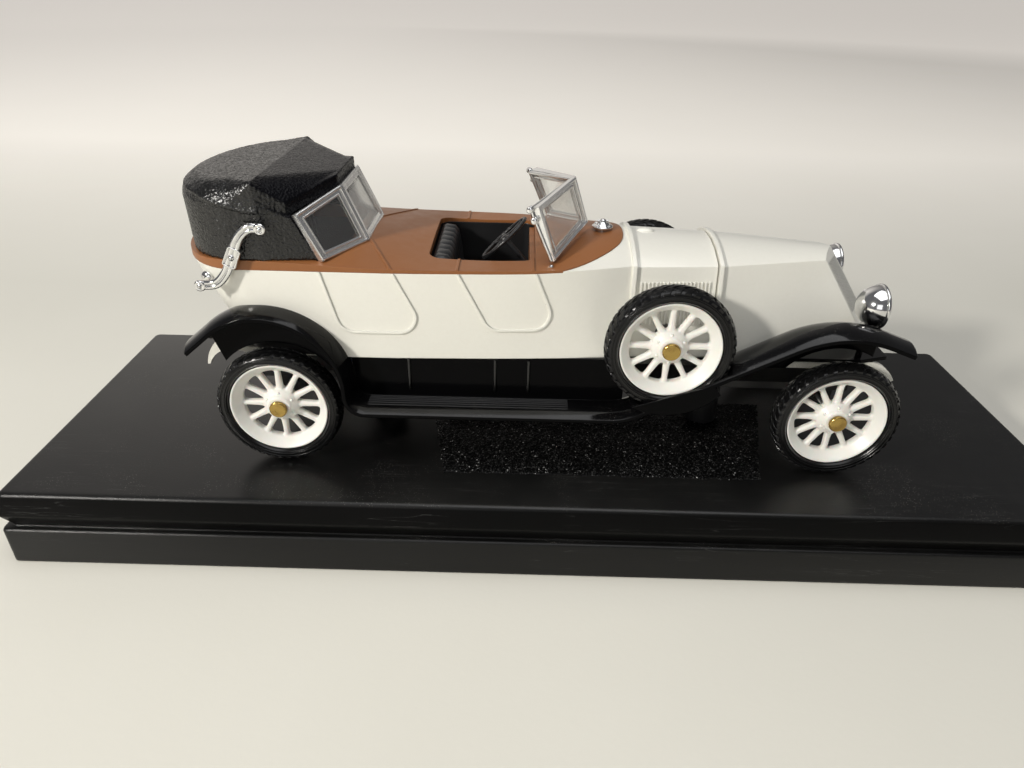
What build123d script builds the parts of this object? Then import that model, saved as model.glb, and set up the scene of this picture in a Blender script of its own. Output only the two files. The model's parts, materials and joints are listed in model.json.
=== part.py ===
from build123d import *
import os
from math import cos, radians, sin

# Scale model of a 1920s torpedo touring car, screwed to a two-tier display plinth.
# Millimetres. +X is the front of the car, +Y its left side, +Z up. The origin is the
# middle of the plinth's underside. Heights named here are above the plinth's top face.

os.makedirs("parts", exist_ok=True)

# Plinth
plinth_length = 180.0
plinth_width = 60.3
plinth_height = 13.7
ground = plinth_height
tier_height = 7.0
slab_top_length = 178.0
slab_top_width = 58.3
slab_widest = 9.9
slab_foot_inset = 1.3
plinth_wall = 2.2
plinth_roof = 2.4

# Running gear
rear_axle_x = -45.2
front_axle_x = 47.6
axle_height = 10.54
tyre_radius = 10.46
tyre_middle_y = 16.5
tyre_width = 3.8
rim_radius = 8.14
rim_seat_radius = 7.5
rim_bore_radius = 6.3
rim_outer_y = 18.0
rim_inner_y = 14.9
flange_width = 0.5
flange_edge = 0.25
spoke_count = 12
spoke_foot_half_width = 0.62
spoke_tip_half_width = 0.42
spoke_outer_y = 16.4
spoke_inner_y = 15.3
hub_radius = 2.9
hub_nose_radius = 2.1
hub_outer_y = 17.9
hub_inner_y = 14.3
axle_radius = 0.8
axle_clearance = 0.05
pin_head_radius = 1.45
pin_head_y = 17.95
pin_head_end_y = 18.6
pin_joint_y = 16.9
spare_x = 18.45
spare_height = 23.1
# Body
sill = 19.0
belt = 34.1
sill_tail = (-42.5, 11.8)
belt_tail = (-49.0, 11.4)
tub_front_x = -3.0
body_wall = 1.2
deck_thickness = 0.8
deck_proud = 0.15
moulding_proud = 0.25
moulding_width = 0.45
firewall_x = 12.3
firewall_band = 0.7
firewall_proud = 0.35
bonnet_gap_x = 26.2
bonnet_start_x = 26.4
bonnet_end_x = 58.0
nose_ridge_x = 47.8
nose_ridge_height = 34.0
nose_rake = 1.373
nose_sweep = 0.61
nose_wall = 1.6

# Cockpit
cockpit_rear_x = -20.2
cockpit_front_x = -3.2
cockpit_half_width = 10.6
cockpit_corner = 2.0
cabin_rear_x = -47.0
cabin_front_x = -33.0
cabin_half_width = 11.8
cabin_corner = 4.0
tub_floor = 21.0
tub_wall = 0.8

# Hood
hood_base = 34.3
hood_top = 50.0
hood_tail_centre_x = -48.5
hood_bow_x = -44.6
hood_bow_height = 47.7
hood_bow_half_width = 16.2
hood_roof_slope = 0.085
hood_shoulder = 3.4
hood_bow_corner = 0.4
hood_inside = 0.02
hood_visor_roundness = 2.2
hood_cheek = (-40.3, 15.0, 44.4)
hood_kink = (-34.46, 6.24, 46.57)
hood_wall = 1.3
hood_roof = 1.6
visor_foot = 42.4

# Wings and running boards
wing_crest_y = 15.3
wing_inner = 4.4
wing_outer = 3.7
wing_sheet = 0.8
wing_lip = 0.6
wing_inner_drop = 1.9
wing_outer_drop = 0.9
front_wing_centre = (46.3, 8.2)
front_wing_radius = 19.0
front_wing_tip_angle = 70.0
front_wing_tip_length = 4.2
front_wing_sweep = 48.0
rear_wing_centre = (-46.3, 14.6)
rear_wing_radius = 13.6
rear_wing_sweep = 130.0
rear_wing_tail_point = (-59.0, 21.7)
liner_thickness = 0.5
liner_drop = 0.3
rear_liner_y = 15.0
front_liner_y = 12.2
wheel_room = 11.2
arch_room_y = 14.3
board_top = 11.4
well_radius = 11.3
well_bore_radius = 10.72
well_inner_y = 13.9
well_outer_y = 19.0
well_wall = 0.5
valance_y = 13.5
valance_thickness = 0.7

# Chassis
plate_bottom = 12.0
plate_thickness = 1.4
plate_half_width = 9.6
plate_rear_x = -53.0
plate_front_x = 52.0
rail_outer_y = 10.8
rail_thickness = 1.1
pillar_x = 30.0
pillar_radius = 3.0
screw_radius = 1.2
screw_head_radius = 2.4
screw_head_height = 1.5


def side(offset=0.0):
    """A vertical plane whose x is the car's length and whose y is height above the
    plinth's top; its normal points to the car's right."""
    return Plane(origin=(0, -offset, ground), x_dir=(1, 0, 0), z_dir=(0, -1, 0))


def across(x):
    """A plane across the car at x: its x is the car's left, its y height above the top."""
    return Plane(origin=(x, 0, ground), x_dir=(0, 1, 0), z_dir=(1, 0, 0))


def level(height):
    """A horizontal plane at a height above the plinth's top face."""
    return Plane.XY.offset(ground + height)


def save(name, label):
    """Labels a finished piece and writes it under its name."""
    name.part.label = label
    export_step(name.part, f"parts/{label}.step")


def mirrored(piece):
    """The same piece on the car's other side."""
    with BuildPart() as twin:
        mirror(piece.part, about=Plane.XZ)
    return twin


# Plinth: a slab with leaning faces on a lower tier, hollow from below
with BuildPart() as plinth:
    with BuildSketch():
        Rectangle(plinth_length, plinth_width)
    extrude(amount=tier_height)
    with BuildSketch(Plane.XY.offset(slab_widest)):
        Rectangle(plinth_length, plinth_width - 0.1)
    with BuildSketch(Plane.XY.offset(plinth_height)):
        Rectangle(slab_top_length, slab_top_width)
    loft(ruled=True)
    with BuildSketch(Plane.XY.offset(tier_height)):
        Rectangle(plinth_length - 2 * slab_foot_inset, plinth_width - 2 * slab_foot_inset)
    with BuildSketch(Plane.XY.offset(slab_widest)):
        Rectangle(plinth_length, plinth_width - 0.1)
    loft(ruled=True)
    with BuildSketch():
        Rectangle(plinth_length - 2 * plinth_wall, plinth_width - 2 * plinth_wall)
    extrude(amount=tier_height - 1.6, mode=Mode.SUBTRACT)
    with BuildSketch():
        Rectangle(slab_top_length - 4 * plinth_wall, slab_top_width - 4 * plinth_wall)
    extrude(amount=plinth_height - plinth_roof, mode=Mode.SUBTRACT)
    with BuildSketch(Plane.XY.offset(plinth_height - plinth_roof)):
        with Locations((-pillar_x, 0), (pillar_x, 0)):
            Circle(screw_radius + 0.2)
    extrude(amount=plinth_roof, mode=Mode.SUBTRACT)
save(plinth, "plinth")

# Two pillars carry the car, each with a screw from inside the plinth
with BuildPart() as pillars:
    with BuildSketch(level(0)):
        with Locations((-pillar_x, 0), (pillar_x, 0)):
            Circle(pillar_radius)
            Circle(screw_radius, mode=Mode.SUBTRACT)
    extrude(amount=plate_bottom)
save(pillars, "mounting_pillars")

with BuildPart() as screws:
    with BuildSketch(level(-plinth_roof)):
        with Locations((-pillar_x, 0), (pillar_x, 0)):
            Circle(screw_radius)
    extrude(amount=plinth_roof + 6.0)
    with BuildSketch(level(-plinth_roof)):
        with Locations((-pillar_x, 0), (pillar_x, 0)):
            Circle(screw_head_radius)
    extrude(amount=-screw_head_height)
save(screws, "mounting_screws")

# The body's sides lean out from the sill to the belt, and end in a round tail
side_rows = (
    # x, half width at the sill, half width at the belt
    (-28.0, 14.9, 15.85),
    (-20.0, 14.65, 15.65),
    (-10.0, 14.25, 15.15),
    (-5.0, 13.95, 14.75),
    (0.0, 13.6, 13.95),
    (5.0, 13.2, 12.75),
    (firewall_x, 12.4, 10.3),
)
# Rows give the crowned top: x, half width and height at its sides, height in the middle
top_rows = (
    (-62.0, 16.5, 34.7, 35.5),
    (-30.5, 16.5, 34.7, 36.5),
    (-20.2, 16.2, 34.6, 35.2),
    (tub_front_x, 15.0, 34.5, 35.2),
    (5.0, 13.1, 34.3, 36.45),
    (firewall_x, 10.5, 34.2, 36.7),
)
# Rows give sections ahead of the firewall: x, half width at sill and crease, crown height
louvre_rows = (
    (firewall_x, 12.25, 10.15, 36.5),
    (bonnet_gap_x, 11.75, 8.95, 36.1),
)
firewall_row = (firewall_x, 12.4, 10.3, 36.7)
crease_height = 33.95
sill_column, belt_column = 1, 2


def body_plan(height, column, tail, inset=0.0):
    """Plan outline of the body at the sill or the belt, with half an ellipse as its tail."""
    tail_x, tail_length = tail
    points = [(row[0], row[column] - inset) for row in side_rows]
    edge = points[0][1]
    nose_run = (points[-1][0] - points[-2][0], points[-1][1] - points[-2][1])
    with BuildSketch(level(height)) as plan:
        with BuildLine():
            flank = Spline(*points, tangents=((1, 0), nose_run))
            straight = Line((tail_x, edge), flank @ 0)
            mirror((flank, straight), about=Plane.XZ)
            EllipticalCenterArc((tail_x, 0), tail_length - inset, edge, 90, arc_size=180)
            Line(points[-1], (points[-1][0], -points[-1][1]))
        make_face()
    return plan.sketch


def body_section(x, foot, crease, crown, inset=0.0, base=sill):
    """Section of the louvred body or the bonnet at x: leaning sides and a crowned top."""
    foot_y = foot - inset
    edge_y, edge_z = crease - inset, crease_height - inset
    with BuildSketch(across(x)) as section:
        with BuildLine():
            Polyline((-edge_y, edge_z), (-foot_y, base), (foot_y, base), (edge_y, edge_z))
            ThreePointArc((edge_y, edge_z), (0, crown - inset), (-edge_y, edge_z))
        make_face()
    return section.sketch


def body_form(inset=0.0):
    """The body below its belt, and the louvred part; inset gives the room inside."""
    with BuildPart() as form:
        loft(
            [
                body_plan(sill, sill_column, sill_tail, inset),
                body_plan(belt, belt_column, belt_tail, inset),
            ],
            ruled=True,
        )
        loft([body_section(*row, inset=inset) for row in louvre_rows], ruled=True)
    return form.part


def top_block(drop=0.0):
    """A block under the crowned top of body and deck, lowered by drop."""
    sections = []
    for x, half_width, side_height, middle_height in top_rows:
        with BuildSketch(across(x)) as section:
            with BuildLine():
                left = (half_width, side_height - drop)
                right = (-half_width, side_height - drop)
                Polyline(right, (-half_width, sill), (half_width, sill), left)
                ThreePointArc(left, (0, middle_height - drop), right)
            make_face()
        sections.append(section.sketch)
    with BuildPart() as block:
        loft(sections)
    return block.part


body_outer = body_form()
above_belt = extrude(body_plan(belt, belt_column, belt_tail), amount=8)

# The deck covers the tub and runs up the cowl as a tongue
deck_shoulder = (4.6, 11.4)
deck_tip_side = (9.4, 7.0)
deck_tip_x = 11.5
tongue_half_width = 15.3
with BuildPart() as tongue:
    with BuildSketch(level(belt)):
        with BuildLine():
            near = Spline(
                (tub_front_x, tongue_half_width), deck_shoulder, deck_tip_side, (deck_tip_x, 0),
                tangents=((1, -0.25), (0, -1)),
            )
            mirror(near, about=Plane.XZ)
            Line((tub_front_x, tongue_half_width), (tub_front_x, -tongue_half_width))
        make_face()
    extrude(amount=6)

with BuildPart() as cowl_deck:
    add(top_block())
    add(top_block(deck_thickness), mode=Mode.SUBTRACT)
    add(above_belt, mode=Mode.INTERSECT)
    add(tongue.part, mode=Mode.INTERSECT)

# Raised lines across the deck where the doors and the rear cowl meet it
shut_lines = (
    # outer end, inner end, each (x, distance from the middle)
    ((-25.2, 16.4), (-30.4, 5.5)),
    ((-15.3, 16.2), (-15.3, 10.0)),
    ((-3.6, 15.4), (-3.6, 10.0)),
)
with BuildPart() as deck_ribs:
    for start, end in shut_lines:
        with BuildSketch(level(belt)):
            for outward in (-1, 1):
                with BuildLine():
                    Line((start[0], outward * start[1]), (end[0], outward * end[1]))
                trace(line_width=moulding_width)
        extrude(amount=6)
    add(top_block(-deck_proud), mode=Mode.INTERSECT)
    add(above_belt, mode=Mode.INTERSECT)

with BuildPart() as deck:
    add(top_block())
    add(above_belt, mode=Mode.INTERSECT)
    with BuildSketch(level(sill)):
        with Locations((tub_front_x, 0)):
            Rectangle(80, 60, align=(Align.MAX, Align.CENTER))
    extrude(amount=30, mode=Mode.INTERSECT)
    add(cowl_deck.part)
    add(deck_ribs.part)
    with BuildSketch(level(belt - 2)):
        with Locations(((cockpit_rear_x + cockpit_front_x) / 2, 0)):
            RectangleRounded(
                cockpit_front_x - cockpit_rear_x, 2 * cockpit_half_width, cockpit_corner
            )
        with Locations(((cabin_rear_x + cabin_front_x) / 2, 0)):
            RectangleRounded(
                cabin_front_x - cabin_rear_x, 2 * cabin_half_width, cabin_corner
            )
    extrude(amount=6, mode=Mode.SUBTRACT)
save(deck, "deck")

# Door outlines and louvre ribs, raised from the body's sides
door_corner = 2.8
door_outlines = (
    ((-25.2, belt), (-20.4, 23.8), (-34.0, 23.8), (-36.4, belt)),
    ((-15.2, belt), (-10.4, 24.3), (0.7, 24.3), (-3.2, belt)),
)
louvre_count = 19
louvre_pitch = 0.62
louvre_length = 7.0
louvre_width = 0.32
louvre_middle = (19.5, 28.0)
with BuildPart() as mouldings:
    with BuildSketch(side()):
        for outline in door_outlines:
            with BuildLine():
                FilletPolyline(*outline, radius=door_corner)
            trace(line_width=moulding_width)
        with Locations(louvre_middle):
            with GridLocations(louvre_pitch, 0, louvre_count, 1):
                Rectangle(louvre_width, louvre_length)
    extrude(amount=20, both=True)
    add(body_form(-moulding_proud), mode=Mode.INTERSECT)
    add(body_form(body_wall / 2), mode=Mode.SUBTRACT)

with BuildPart() as body_room:
    add(body_form(body_wall))
    with BuildSketch(level(belt - body_wall)):
        with Locations((tub_front_x, 0)):
            Rectangle(firewall_x - tub_front_x, 40, align=(Align.MIN, Align.CENTER))
    extrude(amount=10, mode=Mode.SUBTRACT)

with BuildPart() as cowl_top:
    add(top_block(deck_proud))
    add(above_belt, mode=Mode.INTERSECT)
    with BuildSketch(level(belt)):
        with Locations((tub_front_x, 0)):
            Rectangle(firewall_x - tub_front_x, 40, align=(Align.MIN, Align.CENTER))
    extrude(amount=10, mode=Mode.INTERSECT)

# Body shell: the white casting under the deck, with a raised band at the firewall
with BuildPart() as body_shell:
    add(body_outer)
    add(cowl_top.part)
    extrude(
        body_section(*firewall_row, inset=-firewall_proud, base=sill + 1),
        amount=firewall_band,
    )
    add(body_room.part, mode=Mode.SUBTRACT)
    add(mouldings.part)
    add(cowl_deck.part, mode=Mode.SUBTRACT)
    for outward in (-1, 1):
        with BuildSketch(side(-outward * arch_room_y)):
            with Locations((rear_axle_x, axle_height)):
                Circle(wheel_room)
        extrude(amount=-outward * 10, mode=Mode.SUBTRACT)
save(body_shell, "body_shell")

# Bonnet: rows as for the louvred part, then cut to a raked pointed nose
bonnet_rows = (
    (bonnet_start_x, 11.9, 9.1, 36.25),
    (bonnet_end_x, 5.4, 1.6, 34.15),
)
with BuildPart() as nose_cut:
    with BuildSketch(level(nose_ridge_height)):
        back = 30.0
        with BuildLine():
            Polyline(
                (nose_ridge_x, 0), (nose_ridge_x - nose_sweep * back, back), (90, back),
                (90, -back), (nose_ridge_x - nose_sweep * back, -back), close=True,
            )
        make_face()
    extrude(amount=30, dir=(1, 0, -nose_rake), both=True)

with BuildPart() as bonnet_hollow:
    loft([body_section(*row, inset=body_wall, base=sill - 1) for row in bonnet_rows], ruled=True)
    with Locations((-nose_wall, 0, 0)):
        add(nose_cut.part, mode=Mode.SUBTRACT)

with BuildPart() as bonnet:
    loft([body_section(*row) for row in bonnet_rows], ruled=True)
    extrude(
        body_section(*bonnet_rows[0], inset=-firewall_proud, base=sill + 1),
        amount=firewall_band,
    )
    add(nose_cut.part, mode=Mode.SUBTRACT)
    add(bonnet_hollow.part, mode=Mode.SUBTRACT)
save(bonnet, "bonnet")

# Wings: one crowned sheet follows the front arch, the board and the rear arch


def on_circle(centre, radius, angle):
    """The point of a circle at an angle in degrees."""
    return (
        centre[0] + radius * cos(radians(angle)),
        centre[1] + radius * sin(radians(angle)),
    )


arch_end_angle = front_wing_tip_angle + front_wing_sweep
arch_start = on_circle(front_wing_centre, front_wing_radius, front_wing_tip_angle)
arch_end = on_circle(front_wing_centre, front_wing_radius, arch_end_angle)
arch_fall = sin(radians(arch_end_angle)) / cos(radians(arch_end_angle))
knee_x = arch_end[0] + (arch_end[1] - board_top) * arch_fall
rear_foot_x = rear_wing_centre[0] + rear_wing_radius
tip_angle = radians(front_wing_tip_angle)
wing_tip = (
    arch_start[0] + front_wing_tip_length * sin(tip_angle),
    arch_start[1] - front_wing_tip_length * cos(tip_angle),
)
liner_foot = 17.8
liner_head = 30.0
# Columns: distance from the middle plane, centre and radius of the arch, outline, axle's x
liner_rows = (
    (
        rear_liner_y, rear_wing_centre, rear_wing_radius - wing_sheet / 2,
        (
            (-55.6, 24.0), (-53.4, liner_foot), (rear_foot_x, liner_foot),
            (rear_foot_x, liner_head), (-55.6, liner_head),
        ),
        rear_axle_x,
    ),
    (
        front_liner_y, front_wing_centre, front_wing_radius - wing_sheet - liner_drop,
        ((32.0, liner_foot), (52.9, liner_foot), (53.6, liner_head), (32.0, liner_head)),
        front_axle_x,
    ),
)
with BuildPart() as wings_right:
    with BuildLine(side(wing_crest_y)) as crest:
        Line(wing_tip, arch_start)
        CenterArc(front_wing_centre, front_wing_radius, front_wing_tip_angle, front_wing_sweep)
        FilletPolyline(
            arch_end, (knee_x, board_top), (rear_foot_x, board_top),
            (rear_foot_x, rear_wing_centre[1]), radius=(8.0, 2.0),
        )
        rear_arch = CenterArc(rear_wing_centre, rear_wing_radius, 0, rear_wing_sweep)
        Line(rear_arch @ 1, rear_wing_tail_point)
    tip = crest.wires()[0]
    tip_plane = Plane(
        origin=(wing_tip[0], -wing_crest_y, ground + wing_tip[1]),
        x_dir=(0, -1, 0),
        z_dir=(-sin(tip_angle), 0, cos(tip_angle)),
    )
    with BuildSketch(tip_plane):
        with BuildLine():
            inner = (-wing_inner, -wing_inner_drop)
            outer = (wing_outer, -wing_outer_drop)
            rim = wing_outer - wing_sheet
            ThreePointArc(inner, (0, 0), outer)
            Polyline(
                outer, (wing_outer, -wing_outer_drop - wing_lip),
                (rim, -wing_outer_drop - wing_lip), (rim, -wing_outer_drop - wing_sheet * 0.8),
            )
            ThreePointArc(
                (rim, -wing_outer_drop - wing_sheet * 0.8), (0, -wing_sheet),
                (-wing_inner, -wing_inner_drop - wing_sheet),
            )
            Line((-wing_inner, -wing_inner_drop - wing_sheet), inner)
        make_face()
    sweep(path=tip)
    with BuildSketch(side(well_inner_y)):
        with Locations((spare_x, spare_height)):
            Circle(well_radius)
        with BuildLine():
            Polyline(
                (knee_x - 8, board_top - 1.5), (knee_x + 14, board_top + 6.2),
                (spare_x + 14, spare_height - 14), (spare_x, 5), (knee_x - 8, 5), close=True,
            )
        make_face(mode=Mode.INTERSECT)
    extrude(amount=well_outer_y - well_inner_y)
    with BuildSketch(side(well_inner_y + well_wall)):
        with Locations((spare_x, spare_height)):
            Circle(well_bore_radius)
    extrude(amount=well_outer_y - well_inner_y - 2 * well_wall, mode=Mode.SUBTRACT)
    with BuildSketch(side(valance_y - valance_thickness)):
        with Locations(((rear_foot_x + knee_x) / 2, (board_top + sill) / 2 - 0.6)):
            Rectangle(knee_x - rear_foot_x + 1.0, sill - board_top + 1.2)
    extrude(amount=valance_thickness)
    # Liners close each arch beside the chassis and leave room for the wheel
    for liner_y, arch_centre, liner_radius, liner_outline, axle_x in liner_rows:
        with BuildSketch(side(liner_y)):
            with Locations(arch_centre):
                Circle(liner_radius)
            with BuildLine():
                Polyline(liner_outline, close=True)
            make_face(mode=Mode.INTERSECT)
            with Locations((axle_x, axle_height)):
                Circle(wheel_room, mode=Mode.SUBTRACT)
        extrude(amount=liner_thickness)
    add(body_outer, mode=Mode.SUBTRACT)
save(wings_right, "wings_right")
wings_left = mirrored(wings_right)
save(wings_left, "wings_left")

# Chassis: a base plate with axle blocks, and pale side rails ending in curved horns
block_inner_y = 6.0
block_outer_y = 9.0
block_half_length = 2.2
block_bottom = 8.6
with BuildPart() as chassis_plate:
    with BuildSketch(level(plate_bottom)):
        with Locations(((plate_rear_x + plate_front_x) / 2, 0)):
            Rectangle(plate_front_x - plate_rear_x, 2 * plate_half_width)
    extrude(amount=plate_thickness)
    with BuildSketch(level(block_bottom)):
        for axle_x in (rear_axle_x, front_axle_x):
            for block_y in (-1, 1):
                with Locations((axle_x, block_y * (block_inner_y + block_outer_y) / 2)):
                    Rectangle(2 * block_half_length, block_outer_y - block_inner_y)
    extrude(amount=plate_bottom - block_bottom)
    with BuildSketch(side()):
        with Locations((rear_axle_x, axle_height), (front_axle_x, axle_height)):
            Circle(axle_radius + axle_clearance)
    extrude(amount=plate_half_width, both=True, mode=Mode.SUBTRACT)
    with BuildSketch(level(plate_bottom)):
        with Locations((-pillar_x, 0), (pillar_x, 0)):
            Circle(screw_radius)
    extrude(amount=plate_thickness, mode=Mode.SUBTRACT)
save(chassis_plate, "chassis_plate")

rail_bottom = 16.9
rail_top = 18.3
with BuildPart() as frame_rail_right:
    with BuildSketch(side(rail_outer_y - rail_thickness)):
        with BuildLine():
            Polyline((-54.6, rail_top), (-55.5, rail_top + 0.5), (-56.0, 19.8))
            ThreePointArc((-56.0, 19.8), (-58.2, 17.2), (-58.95, 14.8))
            Line((-58.95, 14.8), (-58.5, 14.8))
            ThreePointArc((-58.5, 14.8), (-56.9, 16.9), (-54.0, rail_bottom + 0.9))
            Line((-54.0, rail_bottom + 0.9), (-51.0, rail_bottom))
            Line((-51.0, rail_bottom), (53.0, rail_bottom))
            ThreePointArc((53.0, rail_bottom), (56.3, 16.0), (58.3, 14.6))
            Line((58.3, 14.6), (58.8, 14.9))
            ThreePointArc((58.8, 14.9), (57.2, 16.9), (54.5, rail_top))
            Line((54.5, rail_top), (-54.6, rail_top))
        make_face()
    extrude(amount=rail_thickness)
    add(wings_right.part, mode=Mode.SUBTRACT)
save(frame_rail_right, "frame_rail_right")
frame_rail_left = mirrored(frame_rail_right)
save(frame_rail_left, "frame_rail_left")

# A black apron closes the space between bonnet, wings and horns
apron_thickness = 0.6
apron_bottom = sill - apron_thickness
apron_rear_x = 27.0
apron_front_x = 57.0
apron_half_width = 11.4
apron_nose_half_width = 9.8
with BuildPart() as front_apron:
    with BuildSketch(level(apron_bottom)):
        with BuildLine():
            Polyline(
                (apron_rear_x, -apron_half_width), (plate_front_x, -apron_half_width),
                (apron_front_x, -apron_nose_half_width), (apron_front_x, apron_nose_half_width),
                (plate_front_x, apron_half_width), (apron_rear_x, apron_half_width),
                close=True,
            )
        make_face()
        with BuildLine():
            Polyline(
                (apron_rear_x - 1, -10.4), (46.5, -6.2), (46.5, 6.2), (apron_rear_x - 1, 10.4),
                close=True,
            )
        make_face(mode=Mode.SUBTRACT)
    extrude(amount=apron_thickness)
    add(wings_right.part, mode=Mode.SUBTRACT)
    add(wings_left.part, mode=Mode.SUBTRACT)
save(front_apron, "front_apron")

# Axles, and the brass pins whose heads hold the wheels on
for axle_name, axle_x in (("rear", rear_axle_x), ("front", front_axle_x)):
    with BuildPart() as axle:
        with BuildSketch(side()):
            with Locations((axle_x, axle_height)):
                Circle(axle_radius)
        extrude(amount=pin_joint_y, both=True)
    save(axle, f"{axle_name}_axle")


def wheel_plane(outward):
    """The car's middle plane, its normal towards the side that the wheel is on."""
    return Plane(origin=(0, 0, ground), x_dir=(1, 0, 0), z_dir=(0, outward, 0))


hub_bore = axle_radius + axle_clearance
# Profiles of a wheel's turned parts, each point (distance from the middle, radius)
rim_profile = (
    (rim_inner_y, rim_radius), (rim_inner_y + flange_width, rim_radius),
    (rim_inner_y + flange_width, rim_seat_radius), (rim_outer_y - flange_width, rim_seat_radius),
    (rim_outer_y - flange_width, rim_radius), (rim_outer_y, rim_radius),
    (rim_outer_y, rim_radius - flange_edge), (spoke_outer_y, rim_bore_radius),
    (spoke_inner_y, rim_bore_radius), (rim_inner_y, rim_radius - flange_width),
)
hub_profile = (
    (hub_inner_y, hub_bore), (hub_inner_y, hub_nose_radius), (spoke_inner_y, hub_radius),
    (spoke_outer_y, hub_radius), (spoke_outer_y + flange_width, hub_radius - flange_edge),
    (hub_outer_y, hub_nose_radius), (hub_outer_y, hub_bore),
)
tyre_inner_y = tyre_middle_y - tyre_width / 2
tyre_outer_y = tyre_middle_y + tyre_width / 2
tread_half_width = 1.1
shoulder_radius = 9.5
tyre_profile = (
    (rim_inner_y + flange_width, rim_seat_radius), (rim_outer_y - flange_width, rim_seat_radius),
    (rim_outer_y - flange_width, rim_radius), (tyre_outer_y, rim_radius),
    (tyre_outer_y, shoulder_radius), (tyre_middle_y + tread_half_width, tyre_radius),
    (tyre_middle_y - tread_half_width, tyre_radius), (tyre_inner_y, shoulder_radius),
    (tyre_inner_y, rim_radius), (rim_inner_y + flange_width, rim_radius),
)


def turned(x, height, outward, profile):
    """A profile turned about a wheel's axis."""
    base = ground + height
    with BuildPart() as ring:
        with BuildSketch(Plane.YZ.offset(x)):
            with BuildLine():
                Polyline([(outward * y, base + radius) for y, radius in profile], close=True)
            make_face()
        revolve(axis=Axis((x, 0, base), (0, 1, 0)))
    return ring


def spoked_wheel(x, height, outward):
    """Dished rim and stepped hub, joined by tapered spokes set back from the rim's face."""
    with BuildPart() as wheel:
        add(turned(x, height, outward, rim_profile).part)
        add(turned(x, height, outward, hub_profile).part)
        with BuildSketch(wheel_plane(outward).offset(spoke_inner_y)):
            with Locations((x, height * -outward)):
                with PolarLocations(0, spoke_count):
                    Polygon(
                        (hub_radius - flange_edge, -spoke_foot_half_width),
                        (rim_bore_radius + flange_edge, -spoke_tip_half_width),
                        (rim_bore_radius + flange_edge, spoke_tip_half_width),
                        (hub_radius - flange_edge, spoke_foot_half_width),
                        align=None,
                    )
        extrude(amount=spoke_outer_y - spoke_inner_y)
    return wheel


def tyre_ring(x, height, outward):
    """Tyre with a flat tread and upright walls, seated between the rim flanges."""
    return turned(x, height, outward, tyre_profile)


def hub_pin(x, height, outward):
    """Brass pin: a shank in the hub and a domed head outside it."""
    flat = wheel_plane(outward)
    place = (x, height * -outward)
    with BuildPart() as pin:
        with BuildSketch(flat.offset(pin_joint_y)):
            with Locations(place):
                Circle(axle_radius)
        extrude(amount=pin_head_end_y - pin_joint_y)
        with BuildSketch(flat.offset(pin_head_y)):
            with Locations(place):
                Circle(pin_head_radius)
        extrude(amount=pin_head_end_y - pin_head_y)
    return pin


# Columns: name, x of the middle, height of the middle, side (-1 is the right)
wheel_rows = (
    ("rear_right", rear_axle_x, axle_height, -1),
    ("rear_left", rear_axle_x, axle_height, 1),
    ("front_right", front_axle_x, axle_height, -1),
    ("front_left", front_axle_x, axle_height, 1),
    ("spare_right", spare_x, spare_height, -1),
    ("spare_left", spare_x, spare_height, 1),
)
for place_name, wheel_x, wheel_height, outward in wheel_rows:
    save(spoked_wheel(wheel_x, wheel_height, outward), f"wheel_{place_name}")
    save(tyre_ring(wheel_x, wheel_height, outward), f"tyre_{place_name}")
    save(hub_pin(wheel_x, wheel_height, outward), f"hub_pin_{place_name}")

# A post from each side of the louvred section carries a spare wheel
post_foot_y = 11.0
post_foot_radius = 1.6
post_foot_length = 1.4
with BuildPart() as spare_posts:
    for outward in (-1, 1):
        for post_radius, post_length in (
            (post_foot_radius, post_foot_length), (axle_radius, pin_joint_y - post_foot_y)
        ):
            with BuildSketch(wheel_plane(outward).offset(post_foot_y)):
                with Locations((spare_x, spare_height * -outward)):
                    Circle(post_radius)
            extrude(amount=post_length)
    add(body_shell.part, mode=Mode.SUBTRACT)
    add(body_outer, mode=Mode.SUBTRACT)
save(spare_posts, "spare_wheel_posts")

# Interior: two open wells under the deck, joined by one floor
with BuildPart() as interior_tub:
    wells = (
        # rear x, front x, half width, corner radius
        (cockpit_rear_x, cockpit_front_x, cockpit_half_width, cockpit_corner),
        (cabin_rear_x, cabin_front_x, cabin_half_width, cabin_corner),
    )
    with BuildSketch(level(tub_floor)):
        for rear_x, front_x, half_width, corner in wells:
            with Locations(((rear_x + front_x) / 2, 0)):
                RectangleRounded(
                    front_x - rear_x + 2 * tub_wall, 2 * (half_width + tub_wall),
                    corner + tub_wall,
                )
    extrude(amount=belt - tub_floor)
    with BuildSketch(level(tub_floor + tub_wall)):
        for rear_x, front_x, half_width, corner in wells:
            with Locations(((rear_x + front_x) / 2, 0)):
                RectangleRounded(front_x - rear_x, 2 * half_width, corner)
    extrude(amount=belt - tub_floor, mode=Mode.SUBTRACT)
    with BuildSketch(level(tub_floor)):
        with Locations(((cabin_front_x + cockpit_rear_x) / 2, 0)):
            Rectangle(cockpit_rear_x - cabin_front_x, 2 * cockpit_half_width)
    extrude(amount=tub_wall)
    add(body_shell.part, mode=Mode.SUBTRACT)
save(interior_tub, "interior_tub")

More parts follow.
